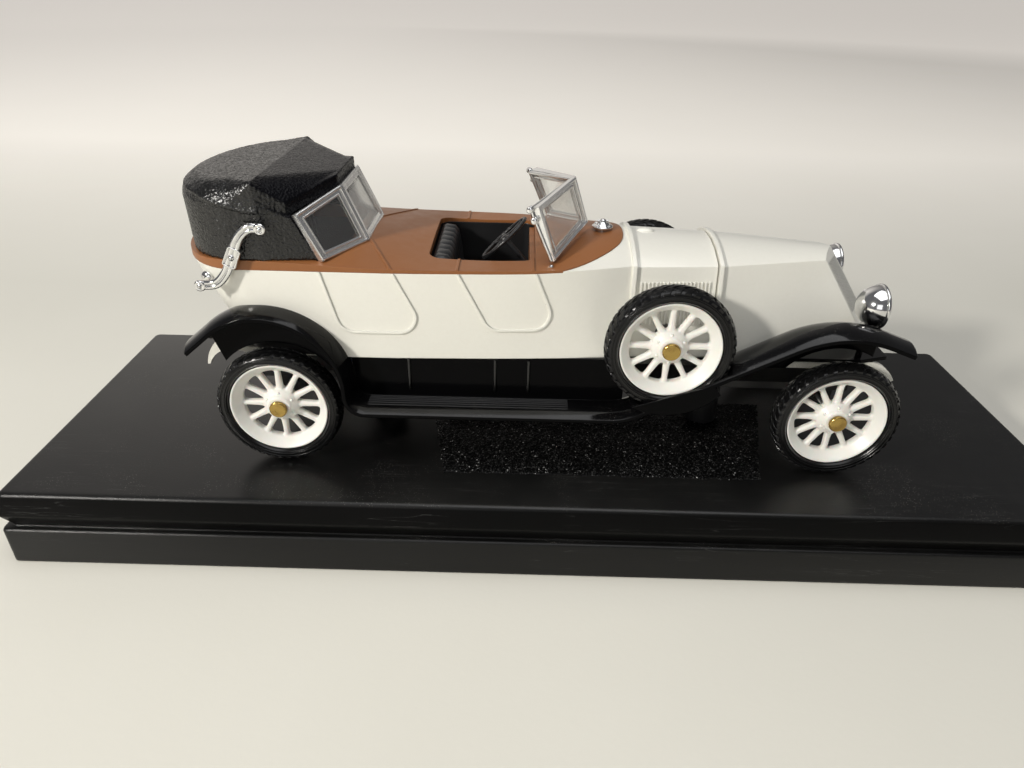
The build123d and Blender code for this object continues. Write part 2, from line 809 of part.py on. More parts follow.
# Seats: rows give rear x, back's front x, cushion's front x, half width,
# cushion height, back height
seat_rows = (
    ("front_seat", cockpit_rear_x, -16.4, -9.6, 9.0, 27.0, 34.6),
    ("rear_seat", cabin_rear_x, -43.6, -37.0, 10.6, 28.0, 36.6),
)
for seat_name, rear_x, back_x, cushion_x, half_width, cushion_z, back_z in seat_rows:
    seat_foot = tub_floor + tub_wall
    with BuildPart() as seat:
        with BuildSketch(side()):
            with BuildLine():
                Polyline(
                    (rear_x + 0.6, seat_foot), (rear_x + 0.05, back_z), (back_x - 0.6, back_z),
                    (back_x, back_z - 1.0), (back_x + 0.6, cushion_z), (cushion_x, cushion_z + 0.3),
                    (cushion_x, seat_foot), close=True,
                )
            make_face()
        extrude(amount=half_width, both=True)
        with BuildSketch(level(seat_foot)):
            with Locations((rear_x + 6.0, 0)):
                RectangleRounded(11.9, 2 * half_width, cabin_corner)
        extrude(amount=belt, mode=Mode.INTERSECT)
    save(seat, seat_name)

# Steering wheel and column, leaning back at column_angle and turned towards the driver
column_angle = 46.0
column_turn = 10.0
steering_centre = (-8.4, -4.0, ground + 36.2)
steering_radius = 4.6
steering_rim = 0.3
column_radius = 0.45
column_length = 5.6
lean = radians(column_angle)
turn = radians(column_turn)
steering_axis = (-cos(lean) * cos(turn), cos(lean) * sin(turn), sin(lean))
steering_plane = Plane(
    origin=steering_centre, x_dir=(sin(turn), cos(turn), 0), z_dir=steering_axis
)
with BuildPart() as steering_wheel:
    with BuildSketch(Plane(
        origin=steering_centre, x_dir=steering_plane.x_dir,
        z_dir=steering_plane.x_dir.cross(steering_plane.z_dir),
    )):
        with Locations((steering_radius, 0)):
            RegularPolygon(steering_rim, 6)
    revolve(axis=Axis(steering_centre, steering_axis))
    with BuildSketch(steering_plane.offset(-0.25)):
        Circle(0.9)
        with PolarLocations(0, 2, 45):
            Rectangle(2 * steering_radius, 0.45)
    extrude(amount=0.5)
save(steering_wheel, "steering_wheel")

with BuildPart() as steering_column:
    with BuildSketch(steering_plane.offset(-0.25)):
        Circle(column_radius)
    extrude(amount=-column_length)
save(steering_column, "steering_column")

with BuildPart() as dashboard:
    with BuildSketch(across(cockpit_front_x - 0.9)):
        with Locations((0, 31.3)):
            Rectangle(2 * (cockpit_half_width - cockpit_corner), 5.4)
    extrude(amount=0.9)
    with BuildSketch(steering_plane):
        Circle(column_radius + 0.15)
    extrude(amount=-2 * column_length, mode=Mode.SUBTRACT)
save(dashboard, "dashboard")

# Hood: rear part with rounded shoulders, then a visor that slopes to the rear screen.
# Rows give its plan: height, half width, length of the tail, half width at the front
hood_plan_rows = (
    (hood_base, 15.7, 11.1, 14.6),
    (hood_top, 16.4, 11.6, 14.6),
)
hood_cheek_x = -36.3
hood_front_x = hood_kink[0]
hood_tail_x = hood_tail_centre_x - 14.0
hood_room_front = (-42.2, visor_foot)
# Cuts the hood back to the rear screen: (x, height) of the outline in side view
screen_cut = (
    (-36.0, hood_base - 3), (-36.2, 35.3), (-39.7, visor_foot), (-34.3, 44.85), (-28, 47.7),
    (-28, hood_base - 3),
)
visor_underside = hood_cheek[2] - 3


def hood_walls(front_x, inset=0.0):
    """A block inside the hood's leaning walls, from its tail to front_x."""
    plans = []
    for height, half_width, tail_length, front_half_width in hood_plan_rows:
        edge = half_width - inset
        lead = front_half_width - inset
        with BuildSketch(level(height - inset)) as plan:
            with BuildLine():
                EllipticalCenterArc(
                    (hood_tail_centre_x, 0), tail_length - inset, edge, 90, arc_size=180
                )
                Polyline(
                    (hood_tail_centre_x, -edge), (hood_bow_x, -edge), (front_x, -lead),
                    (front_x, lead), (hood_bow_x, edge), (hood_tail_centre_x, edge),
                )
            make_face()
        plans.append(plan.sketch)
    with BuildPart() as walls:
        loft(plans, ruled=True)
    return walls.part


def under_profile(points):
    """Everything between the car's sides inside an outline drawn in side view."""
    with BuildSketch(side()) as outline:
        with BuildLine():
            Polyline(points, close=True)
        make_face()
    with BuildPart() as slab:
        extrude(outline.sketch, amount=20, both=True)
    return slab.part


def roof_height(x):
    """Height of the hood's roof behind its bow."""
    return hood_bow_height + (x - hood_bow_x) * hood_roof_slope


def hood_section(x, corner):
    """Section across the hood at x, just inside its walls, with rounded top corners."""
    base_row, top_row = hood_plan_rows
    roof = roof_height(x) - hood_inside
    spread = (top_row[1] - base_row[1]) / (hood_top - hood_base)
    foot = base_row[1] - hood_inside
    head = foot + (roof - hood_base) * spread
    with BuildSketch(across(x)) as section:
        with BuildLine():
            Polyline(
                (-foot, hood_base), (foot, hood_base), (head, roof), (-head, roof), close=True
            )
        make_face()
        fillet(section.vertices().group_by(Axis.Y)[-1], radius=corner)
    return section.sketch


def visor_section(x, half_width, edge, crown):
    """Section across the visor at x: a flat arch from its edges up to its crown."""
    arch = []
    for step in range(-4, 5):
        share = step / 4
        fall = abs(share) ** hood_visor_roundness * (crown - edge)
        arch.append((share * half_width, crown - fall))
    with BuildSketch(across(x)) as section:
        with BuildLine():
            Spline(arch)
            Polyline(
                arch[-1], (half_width, visor_underside), (-half_width, visor_underside), arch[0]
            )
        make_face()
    return section.sketch


low = hood_base - 3
with BuildPart() as hood_rear:
    add(hood_walls(hood_bow_x + 1))
    add(
        under_profile((
            (hood_tail_x, low), (hood_tail_x, roof_height(hood_tail_x)),
            (hood_bow_x, hood_bow_height), (hood_bow_x, low),
        )),
        mode=Mode.INTERSECT,
    )
    shoulders = [
        edge for edge in hood_rear.edges()
        if edge.center().Z > ground + belt + 10 and edge.center().X < hood_bow_x - 0.5
    ]
    fillet(shoulders, radius=hood_shoulder)
    loft(
        [
            hood_section(hood_tail_centre_x, hood_shoulder - hood_inside),
            hood_section(hood_bow_x, hood_bow_corner),
        ],
        ruled=True,
    )

# Columns: x, half width, height of the edges, height of the crown
visor_rows = (
    (hood_bow_x, hood_bow_half_width, 47.5, hood_bow_height),
    (-42.5, 15.6, 45.9, 47.4),
    (*hood_cheek, 47.2),
    (-37.4, 10.6, 45.5, 46.9),
    (*hood_kink, 46.6),
)
with BuildPart() as hood_visor:
    loft([visor_section(*row) for row in visor_rows], ruled=True)

with BuildPart() as hood_cheeks:
    add(hood_walls(hood_cheek_x))
    add(
        under_profile((
            (hood_bow_x, low), (hood_bow_x, hood_cheek[2]), (hood_cheek[0], visor_foot),
            (hood_cheek_x, visor_foot), (hood_cheek_x, low),
        )),
        mode=Mode.INTERSECT,
    )

with BuildPart() as hood_room:
    add(hood_walls(hood_front_x + 1, hood_wall))
    add(
        under_profile((
            (hood_tail_x, low), (hood_tail_x, roof_height(hood_tail_x) - hood_roof),
            (hood_bow_x - 0.6, hood_bow_height - hood_roof), hood_room_front,
            (hood_front_x, visor_foot), (hood_front_x, low),
        )),
        mode=Mode.INTERSECT,
    )

with BuildPart() as hood:
    add(hood_rear.part)
    add(hood_visor.part)
    add(hood_cheeks.part)
    add(hood_room.part, mode=Mode.SUBTRACT)
    add(under_profile(screen_cut), mode=Mode.SUBTRACT)
    add(deck.part, mode=Mode.SUBTRACT)
save(hood, "hood")

# Screens: flat framed panes. Rows give the corners bottom inner, bottom outer,
# top outer and top inner of a pane on the right side, each (x, y, height).
frame_depth = 0.5
bead_width = 0.5
bead_depth = 0.9
glass_depth = 0.3
windscreen_panes = (
    ((5.2, 0.0, 37.9), (-0.7, -12.2, 35.3), (-4.3, -11.7, 43.5), (2.7, 0.0, 45.4)),
)
rear_screen_panes = (
    ((-30.4, 6.55, 36.0), (-30.4, -6.55, 36.0), (-34.3, -6.14, 44.85), (-34.3, 6.14, 44.85)),
    ((-30.4, -6.55, 36.0), (-36.0, -15.0, 35.4), (-39.5, -15.0, 42.5), (-34.3, -6.14, 44.85)),
)
# Columns: name, panes, width of the frame's bars
screen_rows = (
    ("windscreen", windscreen_panes, 0.9),
    ("rear_screen", rear_screen_panes, 1.3),
)


def pane_sketch(corners, inset):
    """A pane's outline in its own plane, shrunk on every side by inset."""
    points = [Vector(x, y, ground + height) for x, y, height in corners]
    along = points[1] - points[0]
    normal = along.cross(points[3] - points[0]).normalized()
    flat = Plane(origin=points[0], x_dir=along, z_dir=normal)
    with BuildSketch(flat) as pane:
        with BuildLine():
            Polyline([tuple(flat.to_local_coords(p))[:2] for p in points], close=True)
        make_face()
        if inset:
            offset(amount=-inset, kind=Kind.INTERSECTION, mode=Mode.REPLACE)
    return pane.sketch


for screen_name, panes, frame_bar in screen_rows:
    with BuildPart() as screen_frame:
        for corners in panes:
            extrude(pane_sketch(corners, 0), amount=bead_depth / 2, both=True)
        for corners in panes:
            for layer in (-1, 1):
                extrude(
                    pane_sketch(corners, bead_width), amount=layer * bead_depth,
                    mode=Mode.SUBTRACT,
                )
        for corners in panes:
            extrude(pane_sketch(corners, bead_width), amount=frame_depth / 2, both=True)
        for corners in panes:
            extrude(
                pane_sketch(corners, frame_bar), amount=frame_depth, both=True,
                mode=Mode.SUBTRACT,
            )
        mirror(about=Plane.XZ)
        add(deck.part, mode=Mode.SUBTRACT)
        if screen_name == "rear_screen":
            add(hood.part, mode=Mode.SUBTRACT)
    save(screen_frame, f"{screen_name}_frame")
    with BuildPart() as screen_glass:
        for corners in panes:
            extrude(pane_sketch(corners, frame_bar), amount=glass_depth / 2, both=True)
        mirror(about=Plane.XZ)
    save(screen_glass, f"{screen_name}_glass")

# Head lamps: chrome bowls on stalks from the apron, each with a clear lens
lamp_centre = (52.85, 9.9, 28.2)
lamp_radius = 3.45
lamp_front = 0.45
lamp_rim = 0.5
lamp_bead = 0.2
lens_seat = 0.6
lens_thickness = 0.5
stalk_radius = 0.5
stalk_set_back = 0.8
with BuildPart() as headlamp_right:
    lamp_x, lamp_y, lamp_z = lamp_centre
    with BuildSketch(side(lamp_y)):
        with BuildLine():
            seat_x = lamp_x + lamp_front - lens_seat
            front_x = lamp_x + lamp_front
            Polyline(
                (lamp_x - lamp_radius, lamp_z), (seat_x, lamp_z),
                (seat_x, lamp_z + lamp_radius - lamp_rim),
                (front_x, lamp_z + lamp_radius - lamp_rim),
                (front_x, lamp_z + lamp_radius + lamp_bead),
                (front_x - lens_seat, lamp_z + lamp_radius + lamp_bead),
                (lamp_x, lamp_z + lamp_radius),
            )
            CenterArc((lamp_x, lamp_z), lamp_radius, 90, 90)
        make_face()
    revolve(axis=Axis((lamp_x, -lamp_y, ground + lamp_z), (1, 0, 0)))
    with BuildSketch(level(sill)):
        with Locations((lamp_x - stalk_set_back, -lamp_y)):
            Circle(stalk_radius)
    extrude(amount=lamp_z - sill - lamp_radius / 2)
save(headlamp_right, "headlamp_right")
save(mirrored(headlamp_right), "headlamp_left")

with BuildPart() as lens_right:
    with BuildSketch(across(seat_x)):
        with Locations((-lamp_y, lamp_z)):
            Circle(lamp_radius - lamp_rim)
    extrude(amount=lens_thickness)
save(lens_right, "headlamp_lens_right")
save(mirrored(lens_right), "headlamp_lens_left")

# Landau irons: flat chrome bars bent to an S, with an eye, a knuckle and a ball
iron_y = 16.9
iron_width = 1.1
iron_thickness = 0.7
iron_ball = 0.8
iron_pin_radius = 0.55
iron_pin_y = 15.0
iron_top = (-43.9, 41.0)
iron_knuckle = (-48.8, 36.5)
iron_foot = (-54.4, 31.9)
knuckle_size = (1.7, 1.0, 2.2)
with BuildPart() as landau_iron_right:
    with BuildLine(side(iron_y)) as bar:
        Spline(
            iron_top, (-46.6, 40.6), iron_knuckle, (-51.2, 32.7), iron_foot,
            tangents=((-1, 0.2), (-1, 0.2)),
        )
    bar_path = bar.wires()[0]
    with BuildSketch(Plane(bar_path @ 0, x_dir=(0, 1, 0), z_dir=bar_path % 0)):
        Rectangle(iron_thickness, iron_width)
    sweep(path=bar_path)
    with Locations((iron_top[0], -iron_y, ground + iron_top[1])):
        Sphere(iron_ball)
    with Locations((iron_foot[0], -iron_y, ground + iron_foot[1])):
        Sphere(iron_ball)
    with Locations((iron_knuckle[0], -iron_y, ground + iron_knuckle[1])):
        Box(*knuckle_size, rotation=(0, 35, 0))
    with BuildSketch(side(iron_pin_y)):
        with Locations(iron_top):
            Circle(iron_pin_radius)
    extrude(amount=iron_y - iron_pin_y)
    add(hood.part, mode=Mode.SUBTRACT)
save(landau_iron_right, "landau_iron_right")
save(mirrored(landau_iron_right), "landau_iron_left")

# Filler cap on the scuttle, ahead of the windscreen
cap_x = 8.1
cap_foot = 36.0
# Each point is (radius, height)
cap_profile = (
    (1.3, cap_foot), (1.3, 36.9), (1.75, 37.1), (1.75, 37.5), (1.2, 37.9), (0.55, 38.1),
    (0.5, 38.7),
)
with BuildPart() as scuttle_cap:
    with BuildSketch(side()):
        with BuildLine():
            Polyline(
                (cap_x, cap_foot), *((cap_x + radius, height) for radius, height in cap_profile),
                (cap_x, cap_profile[-1][1]), close=True,
            )
        make_face()
    revolve(axis=Axis((cap_x, 0, ground), (0, 0, 1)))
    add(deck.part, mode=Mode.SUBTRACT)
    add(body_shell.part, mode=Mode.SUBTRACT)
save(scuttle_cap, "scuttle_cap")
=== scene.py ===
import json
from math import cos, pi, radians, sin

import bmesh
import bpy
from mathutils import Matrix, Vector, noise


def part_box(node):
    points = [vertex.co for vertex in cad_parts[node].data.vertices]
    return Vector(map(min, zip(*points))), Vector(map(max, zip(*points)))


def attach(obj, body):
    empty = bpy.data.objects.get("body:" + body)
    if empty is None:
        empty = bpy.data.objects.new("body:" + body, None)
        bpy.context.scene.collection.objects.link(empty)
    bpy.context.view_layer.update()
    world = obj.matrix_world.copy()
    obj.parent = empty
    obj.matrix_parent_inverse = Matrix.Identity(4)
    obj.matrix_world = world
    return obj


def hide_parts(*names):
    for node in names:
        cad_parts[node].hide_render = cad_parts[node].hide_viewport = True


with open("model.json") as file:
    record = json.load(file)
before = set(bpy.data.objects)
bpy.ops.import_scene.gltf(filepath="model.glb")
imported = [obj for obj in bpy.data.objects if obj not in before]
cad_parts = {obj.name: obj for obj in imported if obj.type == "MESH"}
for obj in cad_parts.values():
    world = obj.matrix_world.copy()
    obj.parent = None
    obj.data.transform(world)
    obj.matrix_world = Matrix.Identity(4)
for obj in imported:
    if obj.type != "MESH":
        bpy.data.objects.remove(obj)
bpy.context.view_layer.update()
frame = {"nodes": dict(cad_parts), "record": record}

# Looks of a die-cast touring car on its display plinth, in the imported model's frame:
# +X is the car's front, +Y its left side, +Z up. Blender works in metres. The forms are written
# in millimetres, and MM turns them into metres.

MM = 0.001
# Height of the plinth's top, from which the car's own heights are counted
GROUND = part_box("plinth")[1].z / MM

# Columns: name of the side, its direction along Y
SIDES = (("right", -1), ("left", 1))

# Columns: name of the wheel, body it rides on, outward side (-1 is the car's right)
WHEELS = (
    ("rear_right", "road_wheel_rear_right", -1),
    ("rear_left", "road_wheel_rear_left", 1),
    ("front_right", "road_wheel_front_right", -1),
    ("front_left", "road_wheel_front_left", 1),
    ("spare_right", "root", -1),
    ("spare_left", "root", 1),
)


# Camera, lamps and floor, in metres

CAMERA_LENS = 25.21
CAMERA_PLACE = (-0.005887, -0.118402, 0.088673)
# Degrees
CAMERA_YAW, CAMERA_PITCH, CAMERA_ROLL = 0.33, 30.23, 1.31

# Columns: name, place, size, power, tint
LAMPS = (
    ("key", (-0.45, -0.41, 0.33), 0.06, 3.5, (1.0, 0.965, 0.91)),
    ("sky", (0.05, -0.10, 0.80), 0.7, 3.4, (1.0, 1.0, 1.0)),
    ("front_fill", (-0.15, -0.65, 0.25), 0.3, 0.35, (1.0, 1.0, 1.0)),
)
LAMP_TARGET = (0.0, 0.0, 0.03)
FLOOR_REACH = 6.0


def make_camera():
    """The photograph's point of view: above the car's right side, looking down at it."""
    data = bpy.data.cameras.new("camera")
    data.sensor_width = 36.0
    data.lens = CAMERA_LENS
    data.clip_start = 0.001
    data.clip_end = 20.0
    camera = bpy.data.objects.new("camera", data)
    turn = (
        Matrix.Rotation(radians(CAMERA_YAW), 4, "Z")
        @ Matrix.Rotation(pi / 2 - radians(CAMERA_PITCH), 4, "X")
        @ Matrix.Rotation(radians(CAMERA_ROLL), 4, "Z")
    )
    camera.matrix_world = Matrix.Translation(CAMERA_PLACE) @ turn
    bpy.context.scene.collection.objects.link(camera)
    bpy.context.scene.camera = camera


def make_lamps():
    """Soft square lamps: a warm key from the left front, a weak sky and a fill."""
    for name, place, size, power, tint in LAMPS:
        data = bpy.data.lights.new(name, "AREA")
        data.shape = "SQUARE"
        data.size = size
        data.energy = power
        data.color = tint
        lamp = bpy.data.objects.new(name, data)
        lamp.location = place
        aim = Vector(LAMP_TARGET) - Vector(place)
        lamp.rotation_euler = aim.to_track_quat("-Z", "Y").to_euler()
        bpy.context.scene.collection.objects.link(lamp)


def make_world():
    """Pale surroundings in the camera's view, a dim room, and a pale wall in reflections."""
    world = bpy.data.worlds.new("studio")
    world.use_nodes = True
    nodes = Nodes(world.node_tree)
    rays = nodes.node("LightPath").outputs
    room = nodes.mix(rays["Is Camera Ray"], (0.14, 0.14, 0.145), (0.77, 0.72, 0.66))
    # The wall stands behind the car and is brighter to the left
    way = nodes.parts(nodes.node("TexCoord").outputs["Generated"])
    wall = nodes.mix(nodes.band(way["X"], -0.35, 0.40), (0.92, 0.87, 0.81), (0.16, 0.155, 0.15))
    share = nodes.times(nodes.band(way["Y"], 0.45, 0.85), rays["Is Glossy Ray"])
    nodes.feed(world.node_tree.nodes["Background"].inputs["Color"], nodes.mix(share, room, wall))
    bpy.context.scene.world = world


def make_floor():
    """A wide pale table under the plinth."""
    mesh = bpy.data.meshes.new("floor")
    signs = ((-1, -1), (1, -1), (1, 1), (-1, 1))
    corners = [(x * FLOOR_REACH, y * FLOOR_REACH, 0) for x, y in signs]
    mesh.from_pydata(corners, [], [(0, 1, 2, 3)])
    floor = bpy.data.objects.new("floor", mesh)
    bpy.context.scene.collection.objects.link(floor)
    mesh.materials.append(table_paint())


# Materials: each function builds one look as a node tree


class Nodes:
    """A node tree, with a short call for each node."""

    def __init__(self, tree):
        self.tree = tree

    def node(self, kind, inputs=(), **settings):
        """Adds a node, sets its settings, and links or sets its inputs in order."""
        made = self.tree.nodes.new("ShaderNode" + kind)
        for setting, value in settings.items():
            setattr(made, setting, value)
        for key, value in dict(inputs).items():
            self.feed(made.inputs[key], value)
        return made

    def feed(self, socket, value):
        """Links an output to a socket, or sets a plain value on it."""
        if isinstance(value, bpy.types.NodeSocket):
            self.tree.links.new(value, socket)
        else:
            # Colours are given without their alpha
            socket.default_value = (*value, 1.0) if socket.type == "RGBA" else value

    def parts(self, vector):
        """A vector's X, Y and Z."""
        return self.node("SeparateXYZ", {"Vector": vector}).outputs

    def band(self, value, low, high, start=0.0, end=1.0):
        """The value's run from low to high, spread from start to end."""
        return self.node("MapRange", {
            "Value": value, "From Min": low, "From Max": high, "To Min": start, "To Max": end,
        }).outputs["Result"]

    def math(self, operation, result, *others):
        """A sum, maximum or other operation of one, two or more values."""
        for other in others or (0.0,):
            result = self.node("Math", {0: result, 1: other}, operation=operation).outputs[0]
        return result

    def times(self, *values):
        """The product of the values."""
        return self.math("MULTIPLY", *values)

    def mix(self, share, first, second):
        """Blends two colours by a share."""
        mixed = self.node("Mix", {0: share}, data_type="RGBA")
        self.feed(mixed.inputs[6], first)
        self.feed(mixed.inputs[7], second)
        return mixed.outputs[2]


class Look(Nodes):
    """A procedural material in the model's own space, with its sizes in millimetres."""

    def __init__(self, name, **sockets):
        self.material = bpy.data.materials.new(name)
        self.material.use_nodes = True
        super().__init__(self.material.node_tree)
        self.surface = self.tree.nodes["Principled BSDF"]
        for socket, value in sockets.items():
            self.surface.inputs[socket.replace("_", " ")].default_value = value
        self.place = self.node("TexCoord").outputs["Object"]

    def noise(self, size, detail=3.0, roughness=0.5, distortion=0.0, place=None):
        """Cloudy noise whose blotches are about size across."""
        return self.node("TexNoise", {
            "Vector": place or self.place, "Scale": 1.0 / (size * MM), "Detail": detail,
            "Roughness": roughness, "Distortion": distortion,
        }).outputs["Fac"]

    def cells(self, size, feature="F1", output="Distance"):
        """Voronoi cells about size across."""
        inputs = {"Vector": self.place, "Scale": 1.0 / (size * MM)}
        return self.node("TexVoronoi", inputs, feature=feature).outputs[output]

    def facing(self):
        """The surface's outward direction."""
        return self.parts(self.node("NewGeometry").outputs["Normal"])

    def upward(self):
        """1 where the surface faces up, 0 where it is upright or faces down."""
        return self.band(self.facing()["Z"], 0.35, 0.95)

    def openness(self, reach, samples):
        """1 in the open, less where surfaces within reach close the spot in."""
        inputs = {"Distance": reach * MM}
        return self.node("AmbientOcclusion", inputs, samples=samples).outputs["AO"]

    def soft_edges(self, radius):
        """A normal that rounds sharp edges off by the radius."""
        return self.node("Bevel", {"Radius": radius * MM}, samples=6).outputs["Normal"]

    def bump(self, height, depth, edge=0.0):
        """Relief of the given depth, on edges rounded by a radius if there is one."""
        inputs = {"Height": height, "Distance": depth * MM}
        if edge:
            inputs["Normal"] = self.soft_edges(edge)
        self.paint("Normal", self.node("Bump", inputs).outputs["Normal"])

    def paint(self, socket, value):
        """Sets or links a socket of the surface."""
        self.feed(self.surface.inputs[socket], value)


DUST = (0.42, 0.40, 0.36)


def dusted(look, colour, roughness, amount=0.5, speck=0.28):
    """Adds specks and a thin veil of dust to faces that look up."""
    speckle = look.band(look.cells(speck), 0.16, 0.10)
    patchy = look.band(look.noise(9, detail=5.0), 0.50, 0.72)
    upward = look.upward()
    share = look.times(speckle, patchy, upward, amount)
    veil = look.band(look.noise(16, detail=6.0, roughness=0.7), 0.4, 0.8, 0.0, 0.012)
    share = look.math("ADD", share, look.times(veil, upward))
    look.paint("Base Color", look.mix(share, colour, DUST))
    look.paint("Roughness", look.math("ADD", roughness, look.times(share, 0.5)))


def table_paint():
    """Pale cream table with a faint mottle, and a glow far behind the car that paints a pale
    backdrop.
    """
    look = Look("floor_cream", Roughness=0.55)
    mottle = look.noise(60, detail=6.0)
    look.paint("Base Color", look.mix(mottle, (0.72, 0.70, 0.62), (0.78, 0.76, 0.68)))
    look.bump(look.noise(1.2), 0.02)
    # Far behind the car the table glows as a painted backdrop, and the glow is painted brighter
    # to the left as painted light
    spot = look.parts(look.place)
    behind = look.times(look.band(spot["Y"], 0.09, 0.30, 0.0, 0.54),
                        look.band(spot["X"], -0.25, 0.45, 1.0, 0.72))
    reach = look.node("VectorMath", {0: look.place}, operation="LENGTH").outputs["Value"]
    painted_backdrop_glow = look.math("MAXIMUM", behind, look.band(reach, 0.35, 1.2, 0.0, 0.56))
    rays = look.node("LightPath").outputs
    seen = look.math("MAXIMUM", *(rays[f"Is {kind} Ray"]
                                  for kind in ("Camera", "Glossy", "Transmission")))
    look.paint("Emission Color", (0.80, 0.745, 0.69))
    look.paint("Emission Strength", look.times(painted_backdrop_glow, seen))
    return look.material


def cream_enamel():
    """Thick glossy off-white paint of the castings, with painted shade in near black inside the
    rear wheels' arches.
    """
    look = Look("cream_enamel", Coat_Weight=0.35, Coat_Roughness=0.08)
    mottle = look.noise(0.7, detail=5.0, roughness=0.7)
    colour = look.mix(mottle, (0.795, 0.781, 0.702), (0.845, 0.832, 0.758))
    rare = look.band(look.noise(7, detail=1.0), 0.60, 0.66)
    dirt = look.times(look.band(look.cells(3.1), 0.055, 0.03), rare)
    colour = look.mix(dirt, colour, (0.33, 0.30, 0.25))
    # Painted shade: near-black colour within about 12 mm of the rear axle, inside the arches
    low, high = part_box("tyre_rear_right")
    axle = (low + high) / 2
    spot = look.parts(look.place)
    along = look.math("SUBTRACT", spot["X"], axle.x)
    rise = look.math("SUBTRACT", spot["Z"], axle.z)
    reach = look.math("SQRT", look.math(
        "ADD", look.times(along, along), look.times(rise, rise)))
    arch_painted_shade = look.band(reach, 12.0 * MM, 11.8 * MM)
    look.paint("Base Color", look.mix(arch_painted_shade, colour, (0.003, 0.003, 0.003)))
    look.paint("Roughness", look.band(look.noise(5), 0.3, 0.7, 0.285, 0.33))
    look.bump(look.noise(0.9, detail=2.0), 0.012, 0.28)
    return look.material


def grille_shaded_enamel():
    """The castings' paint greyed all over as painted shade on the nose, with darker painted
    shade between its fine ribs.
    """
    look = Look("grille_shaded_enamel", Roughness=0.45)
    # Painted shade: darker where the ribs close each spot in
    shade = look.band(look.openness(0.4, 6), 0.95, 0.45, 0.0, 0.9)
    # A grey copy of the castings' cream, darkened as painted shade
    tone = look.mix(look.noise(2), (0.50, 0.49, 0.45), (0.60, 0.59, 0.54))
    look.paint("Base Color", look.mix(shade, tone, (0.16, 0.15, 0.13)))
    look.bump(look.noise(0.3), 0.01)
    return look.material


def rail_shaded_enamel():
    """The castings' paint on the frame rails, with painted shade, almost black, where wings and
    wheels close them in.
    """
    look = Look("rail_shaded_enamel", Roughness=0.35, Coat_Weight=0.2, Coat_Roughness=0.15)
    # Painted shade: near black where nearby surfaces close the rails in
    shade = look.band(look.openness(6, 8), 0.62, 0.34, 0.0, 0.97)
    tone = look.mix(look.noise(3), (0.80, 0.785, 0.705), (0.83, 0.815, 0.74))
    look.paint("Base Color", look.mix(shade, tone, (0.012, 0.011, 0.010)))
    look.bump(look.noise(0.9), 0.012)
    return look.material


def cinnamon_plastic():
    """Semi-gloss brown moulding of the deck, with faint flow marks."""
    look = Look("cinnamon_plastic", Specular_IOR_Level=0.38)
    flow = look.noise(11, detail=5.0, distortion=0.6)
    colour = look.mix(flow, (0.245, 0.092, 0.028), (0.290, 0.112, 0.036))
    dusted(look, colour, look.band(look.noise(2), 0.3, 0.7, 0.34, 0.44), 0.15)
    look.bump(look.noise(0.35), 0.010, 0.2)
    return look.material


def gloss_black(name, roughness=0.09, upright=0.05):
    """Glossy black moulded plastic with dust on what faces up."""
    look = Look(name)
    look.paint("Specular IOR Level", look.band(look.upward(), 0, 1, upright, 0.36))
    tone = look.mix(look.noise(20), (0.0012, 0.0012, 0.0014), (0.003, 0.003, 0.0034))
    gloss = look.band(look.noise(6, detail=4.0), 0.3, 0.7, roughness, roughness + 0.05)
    dusted(look, tone, gloss)
    look.bump(look.noise(2.4, detail=2.0), 0.008, 0.25)
    return look.material


def matte_black(name, tone, roughness):
    """Black plastic with a fine matte texture."""
    look = Look(name)
    shade = (tone, tone, tone * 1.05)
    light = (tone * 1.8, tone * 1.8, tone * 1.9)
    colour = look.mix(look.noise(4, detail=5.0), shade, light)
    dusted(look, colour, look.band(look.noise(1), 0.3, 0.7, roughness - 0.07, roughness))
    look.bump(look.noise(0.16), 0.018, 0.18)
    return look.material


def plinth_satin():
    """Satin black plinth: dust, hairline scratches and a slight grey bloom."""
    look = Look("plinth_satin")
    side = look.band(look.parts(look.place)["Z"], 6.9 * MM, 7.2 * MM, 0.30, 0.06)
    look.paint("Specular IOR Level", look.band(look.upward(), 0, 1, side, 0.45))
    bloom = look.noise(35, detail=6.0, roughness=0.6)
    colour = look.mix(bloom, (0.0018, 0.0018, 0.002), (0.0045, 0.0045, 0.0042))
    drawn_out = look.node("Mapping", {
        "Vector": look.place, "Rotation": (0, 0, 0.5), "Scale": (0.05, 1.6, 1.0),
    }).outputs[0]
    hair = look.noise(2.2, detail=5.0, distortion=0.7, place=drawn_out)
    scratch = look.band(look.math("ABSOLUTE", look.math("SUBTRACT", hair, 0.5)), 0.006, 0.0)
    some = look.band(look.noise(18), 0.50, 0.62)
    scratch = look.times(scratch, some, 0.10)
    colour = look.mix(scratch, colour, (0.30, 0.30, 0.29))
    dusted(look, colour, look.band(bloom, 0.3, 0.7, 0.28, 0.36), 0.75, 0.34)
    look.bump(look.noise(0.3, detail=4.0), 0.010, 0.55)
    return look.material


def glitter_black():
    """Fine black granules, each a dot with painted shade in the gap round it, and bright flakes
    among them whose colour is a painted glint.
    """
    look = Look("glitter_black", Specular_IOR_Level=0.10)
    pick = look.parts(look.cells(0.30, output="Color"))
    # Painted glints: a few granules are bright flakes in the base colour
    flake_glint = look.band(pick["X"], 0.955, 0.995, 0.0, 0.7)
    grey = look.mix(look.math("POWER", pick["Y"], 3.0),
                    (0.001, 0.001, 0.001), (0.075, 0.075, 0.073))
    grey = look.mix(flake_glint, grey, (0.70, 0.70, 0.68))
    # Painted shade: the gap round each granule is near black
    dot = look.band(look.cells(0.30), 0.55, 0.25)
    look.paint("Base Color", look.mix(dot, (0.001, 0.001, 0.001), grey))
    look.paint("Roughness", look.band(pick["Z"], 0.0, 1.0, 0.25, 0.7))
    look.bump(dot, 0.06)
    return look.material


